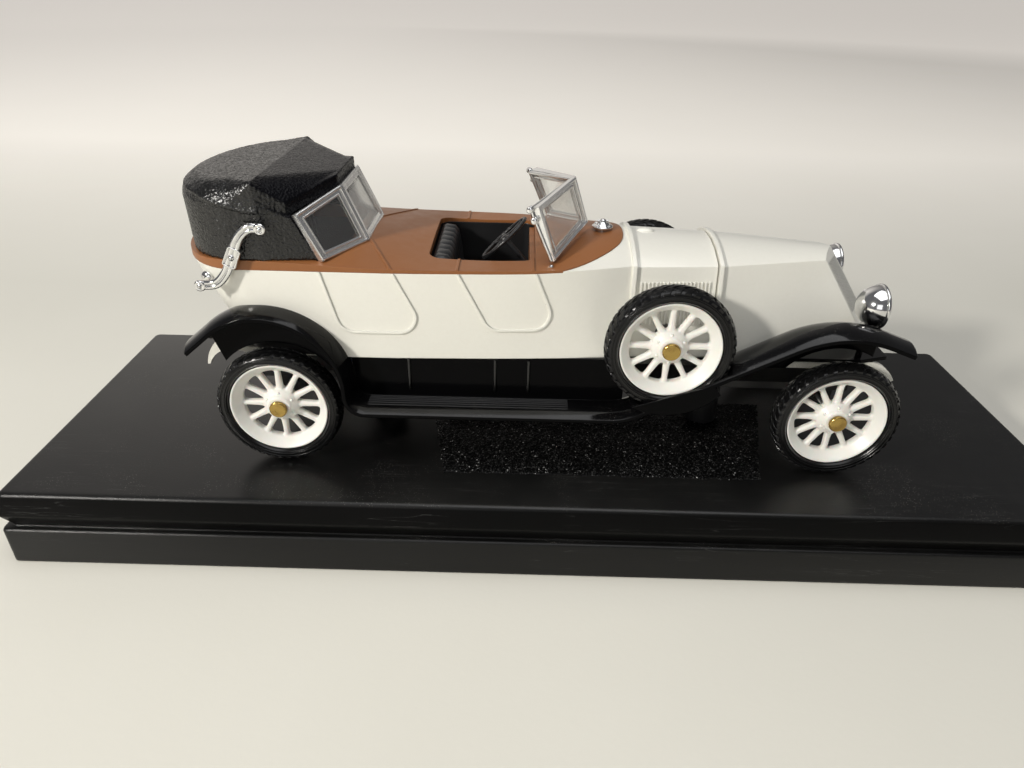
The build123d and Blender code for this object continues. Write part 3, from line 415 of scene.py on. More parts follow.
def leather_black():
    """Black hood leathercloth: a sheen on its pebbled grain, whose middles are a little lighter
    than their edges, and a duller visor.
    """
    look = Look("hood_leather")
    ahead = look.parts(look.place)["X"]
    facing = look.facing()
    outside = look.math("MAXIMUM", look.band(facing["Z"], 0.25, 0.45),
                        look.band(facing["X"], 0.30, 0.50))
    visor = look.times(look.band(ahead, -45.0 * MM, -44.4 * MM), outside)
    look.paint("Specular IOR Level", look.band(visor, 0, 1, 0.55, 0.07))
    pebble = look.cells(0.31, "SMOOTH_F1")
    pebble_middle = look.band(look.cells(0.31, "DISTANCE_TO_EDGE"), 0.05, 0.35)
    colour = look.mix(pebble_middle, (0.003, 0.003, 0.003), (0.010, 0.010, 0.0105))
    colour = look.mix(visor, colour, (0.004, 0.004, 0.0055))
    dusted(look, colour, look.band(pebble, 0.1, 0.6, 0.15, 0.30), 0.12)
    look.bump(look.math("ADD", look.band(pebble, 0.1, 0.7, 1.0, 0.0),
                        look.times(look.noise(0.2), 0.3)), 0.065)
    return look.material


def seat_vinyl():
    """Black seat moulding with a soft sheen and fine wrinkles."""
    look = Look("seat_vinyl")
    tone = look.mix(look.noise(3), (0.009, 0.010, 0.011), (0.020, 0.021, 0.023))
    dusted(look, tone, look.band(look.noise(0.8), 0.3, 0.7, 0.28, 0.40), 0.25)
    look.bump(look.noise(0.5, detail=4.0, distortion=1.0), 0.02, 0.15)
    return look.material


def white_plastic():
    """Warm white wheel moulding, slightly translucent, with grime and painted shade in its tight
    recesses.
    """
    look = Look("wheel_plastic", Subsurface_Weight=0.12, Subsurface_Scale=0.6 * MM)
    tone = look.mix(look.noise(3), (0.800, 0.785, 0.730), (0.840, 0.828, 0.780))
    # Brownish grime together with painted shade, darker where nearby surfaces close the spot in
    grime_and_painted_shade = look.band(look.openness(0.5, 4), 0.55, 0.1, 0.0, 0.35)
    look.paint("Base Color", look.mix(grime_and_painted_shade, tone, (0.50, 0.46, 0.38)))
    look.paint("Roughness", look.band(look.noise(1), 0.3, 0.7, 0.30, 0.40))
    look.bump(look.noise(0.4, detail=2.0), 0.006, 0.1)
    return look.material


def tyre_rubber():
    """Black rubber with a slight gloss and dusty grooves."""
    look = Look("tyre_rubber", Specular_IOR_Level=0.32)
    tone = look.mix(look.noise(2, detail=5.0), (0.002, 0.002, 0.0024), (0.005, 0.005, 0.005))
    dusted(look, tone, look.band(look.noise(1.2), 0.3, 0.7, 0.16, 0.28), 0.12)
    look.bump(look.noise(0.22, detail=4.0), 0.015, 0.08)
    return look.material


def metal(name, colour, dull, roughness):
    """Bare or plated metal with patches of duller finish."""
    look = Look(name, Metallic=1.0)
    patch = look.noise(1.8, detail=5.0)
    look.paint("Base Color", look.mix(look.band(patch, 0.45, 0.75), colour, dull))
    look.paint("Roughness", look.band(patch, 0.3, 0.75, roughness, roughness + 0.12))
    look.bump(look.noise(0.7, detail=2.0), 0.006, 0.08)
    return look.material


def silver_foil():
    """Clear plastic frame faced with pale silver foil."""
    look = Look("silver_foil")
    patch = look.noise(1.2, detail=5.0)
    look.paint("Base Color", look.mix(patch, (0.74, 0.74, 0.73), (0.84, 0.835, 0.82)))
    look.paint("Metallic", look.band(patch, 0.35, 0.65, 0.80, 0.92))
    look.paint("Roughness", look.band(patch, 0.3, 0.7, 0.14, 0.24))
    look.bump(look.noise(1.6, detail=2.0), 0.012, 0.1)
    return look.material


def clear_plastic():
    """Clear pane with a faint haze and dust."""
    look = Look("clear_pane", IOR=1.49, Transmission_Weight=0.95)
    haze = look.noise(4, detail=6.0)
    look.paint("Base Color", look.mix(haze, (0.96, 0.965, 0.95), (0.86, 0.86, 0.84)))
    look.paint("Roughness", look.band(haze, 0.4, 0.8, 0.02, 0.16))
    look.bump(look.noise(3), 0.01)
    return look.material


def lens_plastic():
    """Clear ribbed lamp lens."""
    look = Look("lens_plastic", IOR=1.49, Transmission_Weight=1.0)
    haze = look.noise(0.8, detail=4.0)
    look.paint("Base Color", look.mix(haze, (0.97, 0.97, 0.96), (0.88, 0.89, 0.88)))
    look.paint("Roughness", look.band(haze, 0.3, 0.8, 0.03, 0.12))
    look.bump(haze, 0.006)
    return look.material


# The record's material slots, and a few finishes of parts that differ from their slot's
FINISHES = {
    "plinth_black": plinth_satin(),
    "plinth_glitter": glitter_black(),
    "chassis_black": matte_black("chassis_satin", 0.010, 0.45),
    "wing_black": gloss_black("wing_gloss"),
    "ridge_black": gloss_black("ridge_gloss", roughness=0.16, upright=0.6),
    "body_white": cream_enamel(),
    "grille_shaded_grey": grille_shaded_enamel(),
    "rail_shade": rail_shaded_enamel(),
    "deck_brown": cinnamon_plastic(),
    "hood_black": leather_black(),
    "trim_black": matte_black("trim_satin", 0.008, 0.38),
    "seat_black": seat_vinyl(),
    "wheel_white": white_plastic(),
    "tyre_black": tyre_rubber(),
    "brass": metal("pin_brass", (0.48, 0.33, 0.10), (0.30, 0.19, 0.06), 0.20),
    "steel": metal("screw_steel", (0.50, 0.50, 0.50), (0.32, 0.31, 0.30), 0.28),
    "chrome": metal("plated_chrome", (0.78, 0.78, 0.78), (0.60, 0.60, 0.59), 0.07),
    "screen_silver": silver_foil(),
    "screen_glass": clear_plastic(),
    "lens_glass": lens_plastic(),
}
# Columns: words in a CAD node's name, its finish
NODE_FINISHES = (("screen_frame", "screen_silver"), ("frame_rail", "rail_shade"))


def finish_cad_nodes():
    """Gives each CAD node the finish of its material slot, or its own."""
    for part in frame["record"]["subparts"]:
        node = frame["nodes"].get(part["node"])
        if node is not None:
            node.data.materials.clear()
            finish = part["material_slot"]
            for words, other in NODE_FINISHES:
                if words in part["node"]:
                    finish = other
            node.data.materials.append(FINISHES[finish])


# Forms: points and faces in millimetres, made row by row


class Form:
    """Points and faces of a piece under construction, in millimetres."""

    def __init__(self):
        self.points = []
        self.faces = []

    def sheet(self, rows, ring=False, loop=False, caps=False):
        """Joins rows of points; ring closes each row, and loop joins the last to the first."""
        base, width = len(self.points), len(rows[0])
        self.points.extend(Vector(point) for row in rows for point in row)
        for i in range(len(rows) if loop else len(rows) - 1):
            here, ahead = base + i * width, base + (i + 1) % len(rows) * width
            for j in range(width if ring else width - 1):
                k = (j + 1) % width
                self.faces.append((here + j, here + k, ahead + k, ahead + j))
        if caps:
            last = base + (len(rows) - 1) * width
            self.faces.append(tuple(base + j for j in range(width)))
            self.faces.append(tuple(last + j for j in range(width)))
        return self

    def add(self, other, place=Matrix()):
        """Adds another form, moved by a matrix."""
        base = len(self.points)
        self.points.extend(place @ point for point in other.points)
        self.faces.extend(tuple(base + index for index in face) for face in other.faces)
        return self


def lathe(profile, steps=48, loop=False):
    """Turns a profile of (radius, height) about Z."""
    angles = [2 * pi * k / steps for k in range(steps)]
    rows = [[(r * cos(a), r * sin(a), z) for a in angles] for r, z in profile]
    return Form().sheet(rows, ring=True, loop=loop, caps=not loop)


def smooth_path(points, steps):
    """A curve through the points."""
    ends = [2 * points[0] - points[1], *points, 2 * points[-1] - points[-2]]
    path = []
    for before, start, stop, after in zip(ends, ends[1:], ends[2:], ends[3:]):
        for k in range(steps):
            t = k / steps
            path.append(0.5 * (
                2 * start + (stop - before) * t
                + (2 * before - 5 * start + 4 * stop - after) * t ** 2
                + (3 * start - before - 3 * stop + after) * t ** 3
            ))
    return path + [points[-1]]


def headings(path):
    """The direction of a path at each of its points."""
    around = zip([path[0], *path[:-1]], [*path[1:], path[-1]])
    return [(after - before).normalized() for before, after in around]


def tube(path, radius, up=(0, 1, 0), flat=1.0, steps=12):
    """An oval tube along a path; flat is its height as a share of its width."""
    path = [Vector(point) for point in path]
    angles = [2 * pi * k / steps for k in range(steps)]
    rows = []
    for point, ahead in zip(path, headings(path)):
        across = ahead.cross(Vector(up)).normalized()
        rise = across.cross(ahead)
        rows.append([
            point + across * radius * cos(a) + rise * radius * flat * sin(a) for a in angles
        ])
    return Form().sheet(rows, ring=True, caps=True)


def dome(radius, height, steps=20):
    """A low round head on the plane z = 0."""
    profile = [(radius, -0.1)] + [
        (max(radius * cos(t), 0.01), height * sin(t)) for t in (0, 0.35, 0.7, 1.05, 1.35, 1.57)
    ]
    return lathe(profile, steps)


def rounded_ring(height, length, width, corner):
    """A level ring of points round a rectangle with rounded corners."""
    points = []
    for sign_x, sign_y, start in ((1, 1, 0), (-1, 1, 90), (-1, -1, 180), (1, -1, 270)):
        for k in range(7):
            angle = radians(start + 15 * k)
            points.append((
                sign_x * (length / 2 - corner) + corner * cos(angle),
                sign_y * (width / 2 - corner) + corner * sin(angle), height,
            ))
    return points


def moved(x, y, z):
    """A matrix that moves a form, in millimetres."""
    return Matrix.Translation((x, y, z))


def aimed(origin, axis):
    """A matrix that puts a form's Z along an axis at an origin."""
    return Matrix.Translation(origin) @ Vector(axis).to_track_quat("Z", "Y").to_matrix().to_4x4()


def clamp(value):
    """The value, held between 0 and 1."""
    return min(max(value, 0.0), 1.0)


def make_piece(name, form, slot, replaces=(), body="root", crease=38.0, finish=None):
    """Makes a form an object riding on a body, in its slot's finish or another."""
    mesh = bpy.data.meshes.new(name)
    mesh.from_pydata([point * MM for point in form.points], [], form.faces)
    shell = bmesh.new()
    shell.from_mesh(mesh)
    bmesh.ops.recalc_face_normals(shell, faces=shell.faces)
    shell.to_mesh(mesh)
    shell.free()
    mesh.shade_smooth()
    mesh.set_sharp_from_angle(angle=radians(crease))
    mesh.materials.append(FINISHES[finish or slot])
    piece = bpy.data.objects.new(name, mesh)
    bpy.context.scene.collection.objects.link(piece)
    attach(piece, body)
    if replaces:
        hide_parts(*replaces)
    return piece


def baked(piece, kind, **settings):
    """Applies a modifier to a piece's mesh."""
    modifier = piece.modifiers.new(kind.lower(), kind)
    for setting, value in settings.items():
        setattr(modifier, setting, value)
    graph = bpy.context.evaluated_depsgraph_get()
    graph.update()
    mesh = bpy.data.meshes.new_from_object(piece.evaluated_get(graph))
    piece.modifiers.clear()
    piece.data = mesh
    mesh.shade_smooth()


def box_mm(node):
    """Lowest and highest corners of a CAD node, in millimetres."""
    low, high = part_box(node)
    return low / MM, high / MM


def middle(node):
    """Middle of a CAD node's box, in millimetres."""
    low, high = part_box(node)
    return (low + high) / (2 * MM)


def wheel_place(name, outward):
    """Axis frame of a wheel: Z points outward from the car's middle plane."""
    centre = middle("tyre_" + name)
    return Matrix((
        (1, 0, 0, centre.x), (0, 0, outward, 0), (0, -outward, 0, centre.z), (0, 0, 0, 1),
    ))


# Wheels and tyres

# Columns: radius, distance from the tyre's middle
TYRE_HALF = (
    (7.50, 1.05), (8.20, 1.10), (8.32, 1.62), (8.58, 1.86), (8.66, 1.78), (8.80, 1.78),
    (8.88, 1.88), (9.24, 1.84), (9.30, 1.74), (9.42, 1.73), (9.48, 1.81), (9.75, 1.66),
    (10.08, 1.30), (10.20, 0.70),
)
TYRE_MIDDLE = 16.5
TREAD_RADIUS = 10.20
TREAD_BLOCKS = 40
# Columns: start and stop across the tread, slant and shift as shares of the pitch
TREAD_ROWS = ((-1.72, -0.62, -0.55, 0.0), (-0.46, 0.46, 0.9, 0.5), (0.62, 1.72, 0.55, 0.0))
BLOCK_ROOT = -0.15

SPOKES = 12
# Columns of the wheel's profile: radius, distance from the car's middle plane
HUB_FRONT = ((0.85, 17.86), (1.6, 17.9), (2.0, 17.84), (2.1, 17.4), (2.55, 17.05), (2.8, 16.75))
WEB_FRONT = ((3.05, 16.46), (4.2, 16.4), (5.3, 16.4), (6.45, 16.45))
RIM = (
    (6.62, 16.62), (6.95, 17.0), (7.55, 17.7), (7.85, 17.97), (8.1, 17.97), (8.14, 17.75),
    (8.0, 17.5), (7.55, 17.42), (7.5, 17.2), (7.5, 15.7), (7.55, 15.48), (8.0, 15.4),
    (8.14, 15.15), (8.08, 14.94), (7.6, 14.92), (6.7, 15.1),
)
WEB_BACK = ((6.45, 15.3), (5.3, 15.3), (4.2, 15.3), (3.05, 15.28))
HUB_BACK = ((2.75, 15.05), (2.3, 14.5), (2.1, 14.32), (0.85, 14.32))
# Half the width of a spoke at the hub, and how much of it is lost on the way to the rim
SPOKE_HALF, SPOKE_TAPER = 0.60, 0.16
SPOKE_CROWN = 0.10
PIN = (
    (0.75, 16.95), (0.75, 17.92), (1.34, 17.94), (1.43, 18.02), (1.45, 18.15), (1.45, 18.36),
    (1.40, 18.48), (1.28, 18.55), (1.15, 18.53), (0.7, 18.56), (0.02, 18.58),
)
HUB_BOLTS = 6


def tread_point(angle, across, height):
    """A point at a height over the tyre's crowned tread."""
    radius = TREAD_RADIUS - 0.15 * across ** 2 + height
    return (radius * cos(angle), radius * sin(angle), TYRE_MIDDLE + across)


def tyre_form():
    """Tyre with ringed walls and three rows of slanted tread blocks."""
    profile = [(r, TYRE_MIDDLE + t) for r, t in TYRE_HALF]
    profile += [(r, TYRE_MIDDLE - t) for r, t in reversed(TYRE_HALF)]
    tyre = lathe(profile, 96, loop=True)
    pitch = 2 * pi / TREAD_BLOCKS
    foot, brow = 0.33 * pitch, 0.27 * pitch
    for start, stop, slant, shift in TREAD_ROWS:
        for k in range(TREAD_BLOCKS):
            rows = []
            for t, top in ((0.0, 0.216), (0.5, 0.27), (1.0, 0.216)):
                across = start + (stop - start) * t
                lead = (k + shift + slant * (t - 0.5)) * pitch
                rows.append([
                    tread_point(lead - foot, across, BLOCK_ROOT),
                    tread_point(lead - brow, across, top),
                    tread_point(lead + brow, across, top),
                    tread_point(lead + foot, across, BLOCK_ROOT),
                ])
            tyre.sheet(rows, ring=True, caps=True)
    return tyre


def wheel_form():
    """One-piece wheel: dished rim, tapered spokes and stepped hub, with windows between."""
    profile = HUB_FRONT + WEB_FRONT + RIM + WEB_BACK + HUB_BACK
    first, count = len(HUB_FRONT), len(WEB_FRONT)
    back_first = first + count + len(RIM)
    web_inner, web_outer = WEB_FRONT[0][0], WEB_FRONT[-1][0]
    sector = 2 * pi / SPOKES
    columns = 5 * SPOKES
    form = Form()
    for radius, height in profile:
        near = min(max(radius, web_inner), web_outer)
        half = (SPOKE_HALF - SPOKE_TAPER * (near - web_inner) / (web_outer - web_inner)) / near
        gap = sector - 2 * half
        for spoke in range(SPOKES):
            for offset in (-half, 0.0, half, half + 0.33 * gap, half + 0.67 * gap):
                angle = spoke * sector + offset
                crown = SPOKE_CROWN if offset == 0.0 and radius in (4.2, 5.3) else 0.0
                lift = crown if height > 16 else -crown
                spot = (radius * cos(angle), radius * sin(angle), height + lift)
                form.points.append(Vector(spot))

    def face(*corners):
        form.faces.append(tuple(
            row % len(profile) * columns + column % columns for row, column in corners))

    web_rows = [*range(first, first + count - 1), *range(back_first, back_first + count - 1)]
    for row in range(len(profile)):
        for column in range(columns):
            if column % 5 < 2 or row not in web_rows:
                face((row, column), (row, column + 1), (row + 1, column + 1), (row + 1, column))
    # Walls of the windows join the front web's edges to the back's
    outer, inner_back = first + count - 1, back_first + count - 1
    for spoke in range(SPOKES):
        left, right = 5 * spoke + 2, 5 * spoke + 5
        for k in range(count - 1):
            front, back = first + k, inner_back - k
            for edge in (left, right):
                face((front, edge), (front + 1, edge), (back - 1, edge), (back, edge))
        for column in range(left, right):
            for front, back in ((first, inner_back), (outer, back_first)):
                face((front, column), (front, column + 1), (back, column + 1), (back, column))
    return form


def make_wheels():
    """Six tyres, wheels, hub bolt rings and brass pins; four tyres, wheels and bolt rings turn
    with their bodies, and every pin rides on the root.
    """
    tyre, wheel, pin = tyre_form(), wheel_form(), lathe(PIN, 40)
    bolts = Form()
    for k in range(HUB_BOLTS):
        angle = 2 * pi * (k + 0.5) / HUB_BOLTS
        bolts.add(dome(0.26, 0.2, 12), moved(2.38 * cos(angle), 2.38 * sin(angle), 17.18))
    for name, body, outward in WHEELS:
        place = wheel_place(name, outward)
        make_piece("tread_" + name, Form().add(tyre, place), "tyre_black",
                   ["tyre_" + name], body, crease=50)
        spoked = make_piece("spokes_" + name, Form().add(wheel, place), "wheel_white",
                            ["wheel_" + name], body, crease=180)
        baked(spoked, "SUBSURF", levels=2, render_levels=2)
        make_piece("hub_bolts_" + name, Form().add(bolts, place), "wheel_white", body=body)
        make_piece("pin_head_" + name, Form().add(pin, place), "brass", ["hub_pin_" + name])


# Hood, seats and screens

# Columns of the visor: x, half width, height of its edges, height of its crown
VISOR_ROWS = (
    (-44.6, 16.2, 47.5, 47.7), (-42.5, 15.6, 45.9, 47.4), (-40.3, 15.0, 44.4, 47.2),
    (-37.4, 10.6, 45.5, 46.9), (-34.46, 6.24, 46.57, 46.6),
)
VISOR_ROUNDNESS = 2.2
# Slope of the visor's flat top, and three corners of its cheek plane
VISOR_FALL = 0.111
VISOR_CHEEK = (
    Vector((-44.6, 16.2, 47.6)), Vector((-34.46, 6.24, 46.57)), Vector((-40.3, 15.0, 44.4)),
)
HOOD_VOXEL = 0.195
PEBBLE_SIZE = 0.62
PEBBLE_DEPTH, VISOR_PEBBLE_LOSS = 0.18, 0.15
FOLD_DEPTH = 0.34

# Corners of the right side's panes (x, y, height above the plinth), bottom inner corner first
SCREEN_PANES = (
    ((5.2, 0.0, 37.9), (-0.7, -12.2, 35.3), (-4.3, -11.7, 43.5), (2.7, 0.0, 45.4)),
    ((-30.4, -6.55, 36.0), (-36.0, -15.0, 35.4), (-39.5, -15.0, 42.5), (-34.3, -6.14, 44.85)),
)
# Columns: how far a bead round a pane lies towards the pane's middle, its radius
BEADS = ((0.06, 0.27), (0.235, 0.15))


def pane_corners(pane, outward):
    """Corners of a pane on one side of the car, from those of the right side's."""
    return [Vector((x, -outward * y, GROUND + z)) for x, y, z in pane]


def fold_height(x):
    """Height above the plinth of the fold along the hood's side."""
    return 45.3 if x < -54 else max(45.3 - (x + 54) * 0.26, 43.2)


def visor_lift(x, y, z):
    """How far the visor's top rises there to run straight from its bow to the screen."""
    bow = VISOR_ROWS[0]
    if not bow[0] <= x <= VISOR_ROWS[-1][0]:
        return 0.0
    for before, after in zip(VISOR_ROWS, VISOR_ROWS[1:]):
        if x <= after[0]:
            t = (x - before[0]) / (after[0] - before[0])
            width, edge, crown = (a + (b - a) * t for a, b in zip(before[1:], after[1:]))
            break
    moulded = crown - (crown - edge) * min(abs(y) / width, 1.0) ** VISOR_ROUNDNESS
    flat = bow[3] - VISOR_FALL * (x - bow[0])
    corner, screen_corner, edge_corner = VISOR_CHEEK
    normal = (screen_corner - corner).cross(edge_corner - corner)
    cheek = corner.z - (normal.x * (x - corner.x) + normal.y * (abs(y) - corner.y)) / normal.z
    blend = max(3.0 - abs(flat - cheek), 0.0) / 3.0
    straight = min(flat, cheek) - blend ** 2 * 0.75
    near_top = clamp((z - (moulded - 1.5)) / 1.4)
    return max(straight - moulded, 0.0) * near_top


def make_hood():
    """The CAD hood's form with a straight visor, a fold along its side and leather grain."""
    source = frame["nodes"]["hood"]
    mesh = source.data.copy()
    mesh.transform(source.matrix_world)
    hood = bpy.data.objects.new("hood_grain", mesh)
    bpy.context.scene.collection.objects.link(hood)
    baked(hood, "REMESH", mode="VOXEL", voxel_size=HOOD_VOXEL * MM)
    for vertex in hood.data.vertices:
        x, y, z = vertex.co / MM
        vertex.co.z += visor_lift(x, y, z - GROUND) * MM
    baked(hood, "SMOOTH", factor=0.5, iterations=3)
    # The normals are read before any point moves
    normals = [vertex.normal.copy() for vertex in hood.data.vertices]
    for vertex, normal in zip(hood.data.vertices, normals):
        x, y, z = vertex.co / MM
        distances = noise.voronoi(vertex.co / (PEBBLE_SIZE * MM))[0]
        rim = min((distances[1] - distances[0]) / 0.42, 1.0)
        pebble = 0.5 * rim * (2 - rim)
        wave = 0.03 * noise.noise(vertex.co / (2.4 * MM))
        on_visor = clamp((x + 45.0) / 0.8) * clamp((normal.z - 0.3) / 0.15)
        depth = PEBBLE_DEPTH - VISOR_PEBBLE_LOSS * on_visor
        # The fold swells out softly above its line and ends sharply below it
        above = z - GROUND - fold_height(x)
        fold = FOLD_DEPTH * (2.72 ** (-above / 1.3) if above > 0 else max(1 + above / 0.35, 0.0))
        outside = 1.0 if normal.dot(Vector((x + 46.0, y * 1.4, 0))) > 0 else 0.0
        fold *= clamp((0.75 - abs(normal.z)) / 0.4) * clamp((-41.5 - x) / 3.0) * outside
        vertex.co += normal * MM * (depth * (pebble - 0.25) + wave + fold)
    hood.data.materials.clear()
    hood.data.materials.append(FINISHES["hood_black"])
    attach(hood, "root")
    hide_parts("hood")


def seat_form(node, channels, cushion_share):
    """A seat with a rolled back and a cushion, pleated from back to front."""
    low, high = box_mm(node)
    cushion = low.z + (high.z - low.z) * cushion_share
    back = low.x + (high.x - low.x) * 0.34
    # Outline in side view: x, z, and how much the pleats stand out there
    outline = (
        (low.x + 0.4, low.z, 0.0), (low.x + 0.15, high.z - 1.4, 0.0),
        (low.x + 0.45, high.z - 0.35, 0.2), (low.x + 1.2, high.z - 0.05, 0.4),
        (back - 0.9, high.z - 0.25, 0.7), (back - 0.25, high.z - 1.0, 1.0),
        (back, high.z - 2.4, 1.0), (back + 0.25, (high.z + cushion) / 2, 1.0),
        (back + 0.5, cushion + 0.9, 0.8), (back + 1.0, cushion + 0.3, 0.6),
        (back + 2.2, cushion + 0.35, 1.0), (high.x - 1.4, cushion + 0.45, 1.0),
        (high.x - 0.5, cushion + 0.05, 0.9), (high.x - 0.15, cushion - 0.8, 0.7),
        (high.x - 0.2, cushion - 2.2, 0.2), (high.x - 0.2, low.z, 0.0),
    )
    inside = Vector(((low.x + back) / 2, 0, cushion - 2.0))
    samples = 8 * channels
    rows = []
    for k in range(samples + 1):
        y = low.y + (high.y - low.y) * k / samples
        puff = abs(sin(pi * k / 8)) ** 0.6 * 0.45 - 0.45
        side_fall = max(0.0, abs(2 * k / samples - 1) - 0.9) * 4.0
        row = []
        for x, z, weight in outline:
            outward = Vector((x - inside.x, 0, z - inside.z)).normalized()
            swell = puff * weight - side_fall * min(weight + 0.2, 1.0)
            row.append(Vector((x, y, z)) + outward * swell)
        rows.append(row)
    return Form().sheet(rows, ring=True, caps=True)


def make_seats():
    """Pleated front and rear seats."""
    for node, channels, cushion_share in (("front_seat", 8, 0.42), ("rear_seat", 9, 0.40)):
        make_piece("pleats_" + node, seat_form(node, channels, cushion_share), "seat_black",
                   [node], crease=60)


def make_screen_fittings():
    """Knobs on the windscreen's outer posts, rods between the panes and beads round them."""
    knobs = Form()
    knob = lathe((
        (0.30, -0.2), (0.30, 0.35), (0.52, 0.40), (0.72, 0.55), (0.75, 0.95), (0.62, 1.15),
        (0.30, 1.25), (0.02, 1.27),
    ), 24)
    collar = lathe(((0.50, -0.62), (0.62, -0.5), (0.62, 0.5), (0.50, 0.62)), 20)
    small = Matrix.Scale(0.72, 4)
    for outward in (-1, 1):
        _, foot, head, _ = pane_corners(SCREEN_PANES[0], outward)
        post = head - foot
        for share in (0.78, 0.98):
            spot = foot + post * share
            knobs.add(knob, aimed(spot, (-0.35, outward, 0.05)) @ small)
            knobs.add(collar, aimed(spot, post) @ small)
        knobs.add(tube([foot + post * 0.02, head + post * 0.04], 0.32, up=(1, 0, 0)))
        hinge = [(-30.4, outward * 6.55, GROUND + 36.2), (-34.3, outward * 6.14, GROUND + 44.7)]
        knobs.add(tube(hinge, 0.40, up=(1, 0, 0)))
    knobs.add(tube([(5.2, 0, GROUND + 37.9), (2.7, 0, GROUND + 45.4)], 0.42))
    make_piece("screen_fittings", knobs, "chrome")

    beads = Form()
    for pane in SCREEN_PANES:
        for outward in (1, -1):
            corners = pane_corners(pane, outward)
            centre = sum(corners, Vector()) / 4
            normal = (corners[1] - corners[0]).cross(corners[3] - corners[0]).normalized()
            for pull, radius in BEADS:
                loop = [corner.lerp(centre, pull) for corner in corners]
                for start, stop in zip(loop, loop[1:] + loop[:1]):
                    for lift in (-0.36, 0.36):
                        shift = normal * lift
                        beads.add(tube([start + shift, stop + shift], radius, up=normal))
    make_piece("screen_beads", beads, "chrome", finish="screen_silver")


# Brightwork

# Line of a landau iron: x, height above the plinth
IRON_LINE = (
    (-43.9, 41.0), (-45.6, 41.0), (-47.3, 39.6), (-48.8, 36.5), (-50.2, 33.9), (-52.0, 32.2),
    (-54.4, 31.9),
)
IRON_SIDE = 16.9
STRAND_SHIFT, STRAND_RADIUS = 0.36, 0.40
# Point of the line that carries the knuckle, and the turn of its plate in degrees
KNUCKLE_POINT, KNUCKLE_TILT = 3, -63.0
# Columns of the knuckle's plate: height, length, width, corner radius
KNUCKLE_ROWS = (
    (-0.55, 3.3, 2.1, 0.35), (0.30, 3.3, 2.1, 0.35), (0.47, 3.16, 1.96, 0.34),
    (0.47, 2.90, 1.70, 0.30), (0.20, 2.66, 1.46, 0.25),
)


def make_irons():
    """Landau irons: twin strands, an eye at each end and an oblong knuckle plate."""
    angles = [2 * pi * k / 12 for k in range(12)]
    ring = lathe([(0.62 + 0.28 * cos(t), 0.28 * sin(t)) for t in angles], 28, loop=True)
    plate = Form().sheet([rounded_ring(*row) for row in KNUCKLE_ROWS], ring=True, caps=True)
    for side_name, outward in SIDES:
        out = Vector((0, outward, 0))
        line = [Vector((x, outward * IRON_SIDE, GROUND + z)) for x, z in IRON_LINE]
        top, foot = line[0], line[-1]
        iron = Form()
        path = smooth_path(line, 6)
        for shift in (-STRAND_SHIFT, STRAND_SHIFT):
            strand = [point + ahead.cross(Vector((0, 1, 0))).normalized() * shift
                      for point, ahead in zip(path, headings(path))]
            iron.add(tube(strand, STRAND_RADIUS))
        for eye in (top, foot):
            iron.add(ring, aimed(eye + out * 0.25, out))
            iron.add(dome(0.72, 0.62, 24), aimed(eye, out))
            iron.add(dome(0.30, 0.25, 16), aimed(eye + out * 0.55, out))
        # Stems to the hood and to the body's side, where a flange ends the lower one
        iron.add(tube([top, top - out * 1.1], 0.5, up=(0, 0, 1)))
        iron.add(tube([foot, foot - out * 3.9], 0.45, up=(0, 0, 1)))
        flange = foot - out * 3.1 + Vector((-0.2, 0, 0))
        iron.add(dome(1.05, 0.5, 28), aimed(flange, (-0.3, outward, 0.1)))
        knuckle = aimed(line[KNUCKLE_POINT], out)
        iron.add(plate, knuckle @ Matrix.Rotation(outward * radians(KNUCKLE_TILT), 4, "Z"))
        iron.add(dome(0.52, 0.42, 20), knuckle @ moved(0, 0, 0.24))
        iron.add(dome(0.24, 0.18, 12), knuckle @ moved(0, 0, 0.64))
        make_piece("iron_" + side_name, iron, "chrome", ["landau_iron_" + side_name], crease=60)


# Lamp profiles: radius, distance ahead of the lamp's rim
LAMP_BOWL = (
    (0.02, -3.46), (0.5, -3.42), (1.1, -3.27), (1.8, -2.93), (2.45, -2.42), (2.98, -1.70),
    (3.30, -0.95), (3.42, -0.30), (3.44, -0.12), (3.62, -0.08), (3.70, 0.04), (3.70, 0.32),
    (3.62, 0.44), (3.40, 0.47), (3.05, 0.40), (2.98, 0.20), (2.96, -0.15), (2.4, -1.15),
    (1.5, -1.75), (0.5, -2.0), (0.02, -2.02),
)
LAMP_BULB = ((0.35, -2.0), (0.4, -1.5), (0.42, -1.2), (0.3, -0.95), (0.02, -0.85))
LAMP_SOCKET = ((0.55, -3.9), (0.95, -3.6), (1.05, -3.2), (0.6, -2.9))
LENS_RADIUS, LENS_RINGS, LENS_RAYS = 2.93, 14, 48
LENS_BACK = -0.12


def lens_form():
    """A swelling lens with upright ribs and a flat back."""
    rows = []
    for k in range(LENS_RINGS + 1):
        radius = LENS_RADIUS * k / LENS_RINGS + 0.01
        row = []
        for j in range(LENS_RAYS):
            around = 2 * pi * j / LENS_RAYS
            across, rise = radius * cos(around), radius * sin(around)
            swell = 0.34 * (1 - (radius / 3.0) ** 2) + 0.045 * cos(2 * pi * across / 0.55)
            row.append((across, rise, swell))
        rows.append(row)
    edge = rows[-1]
    for share in (1.0, 0.004):
        rows.append([(x * share, y * share, LENS_BACK) for x, y, _ in edge])
    return Form().sheet(rows, ring=True, caps=True)


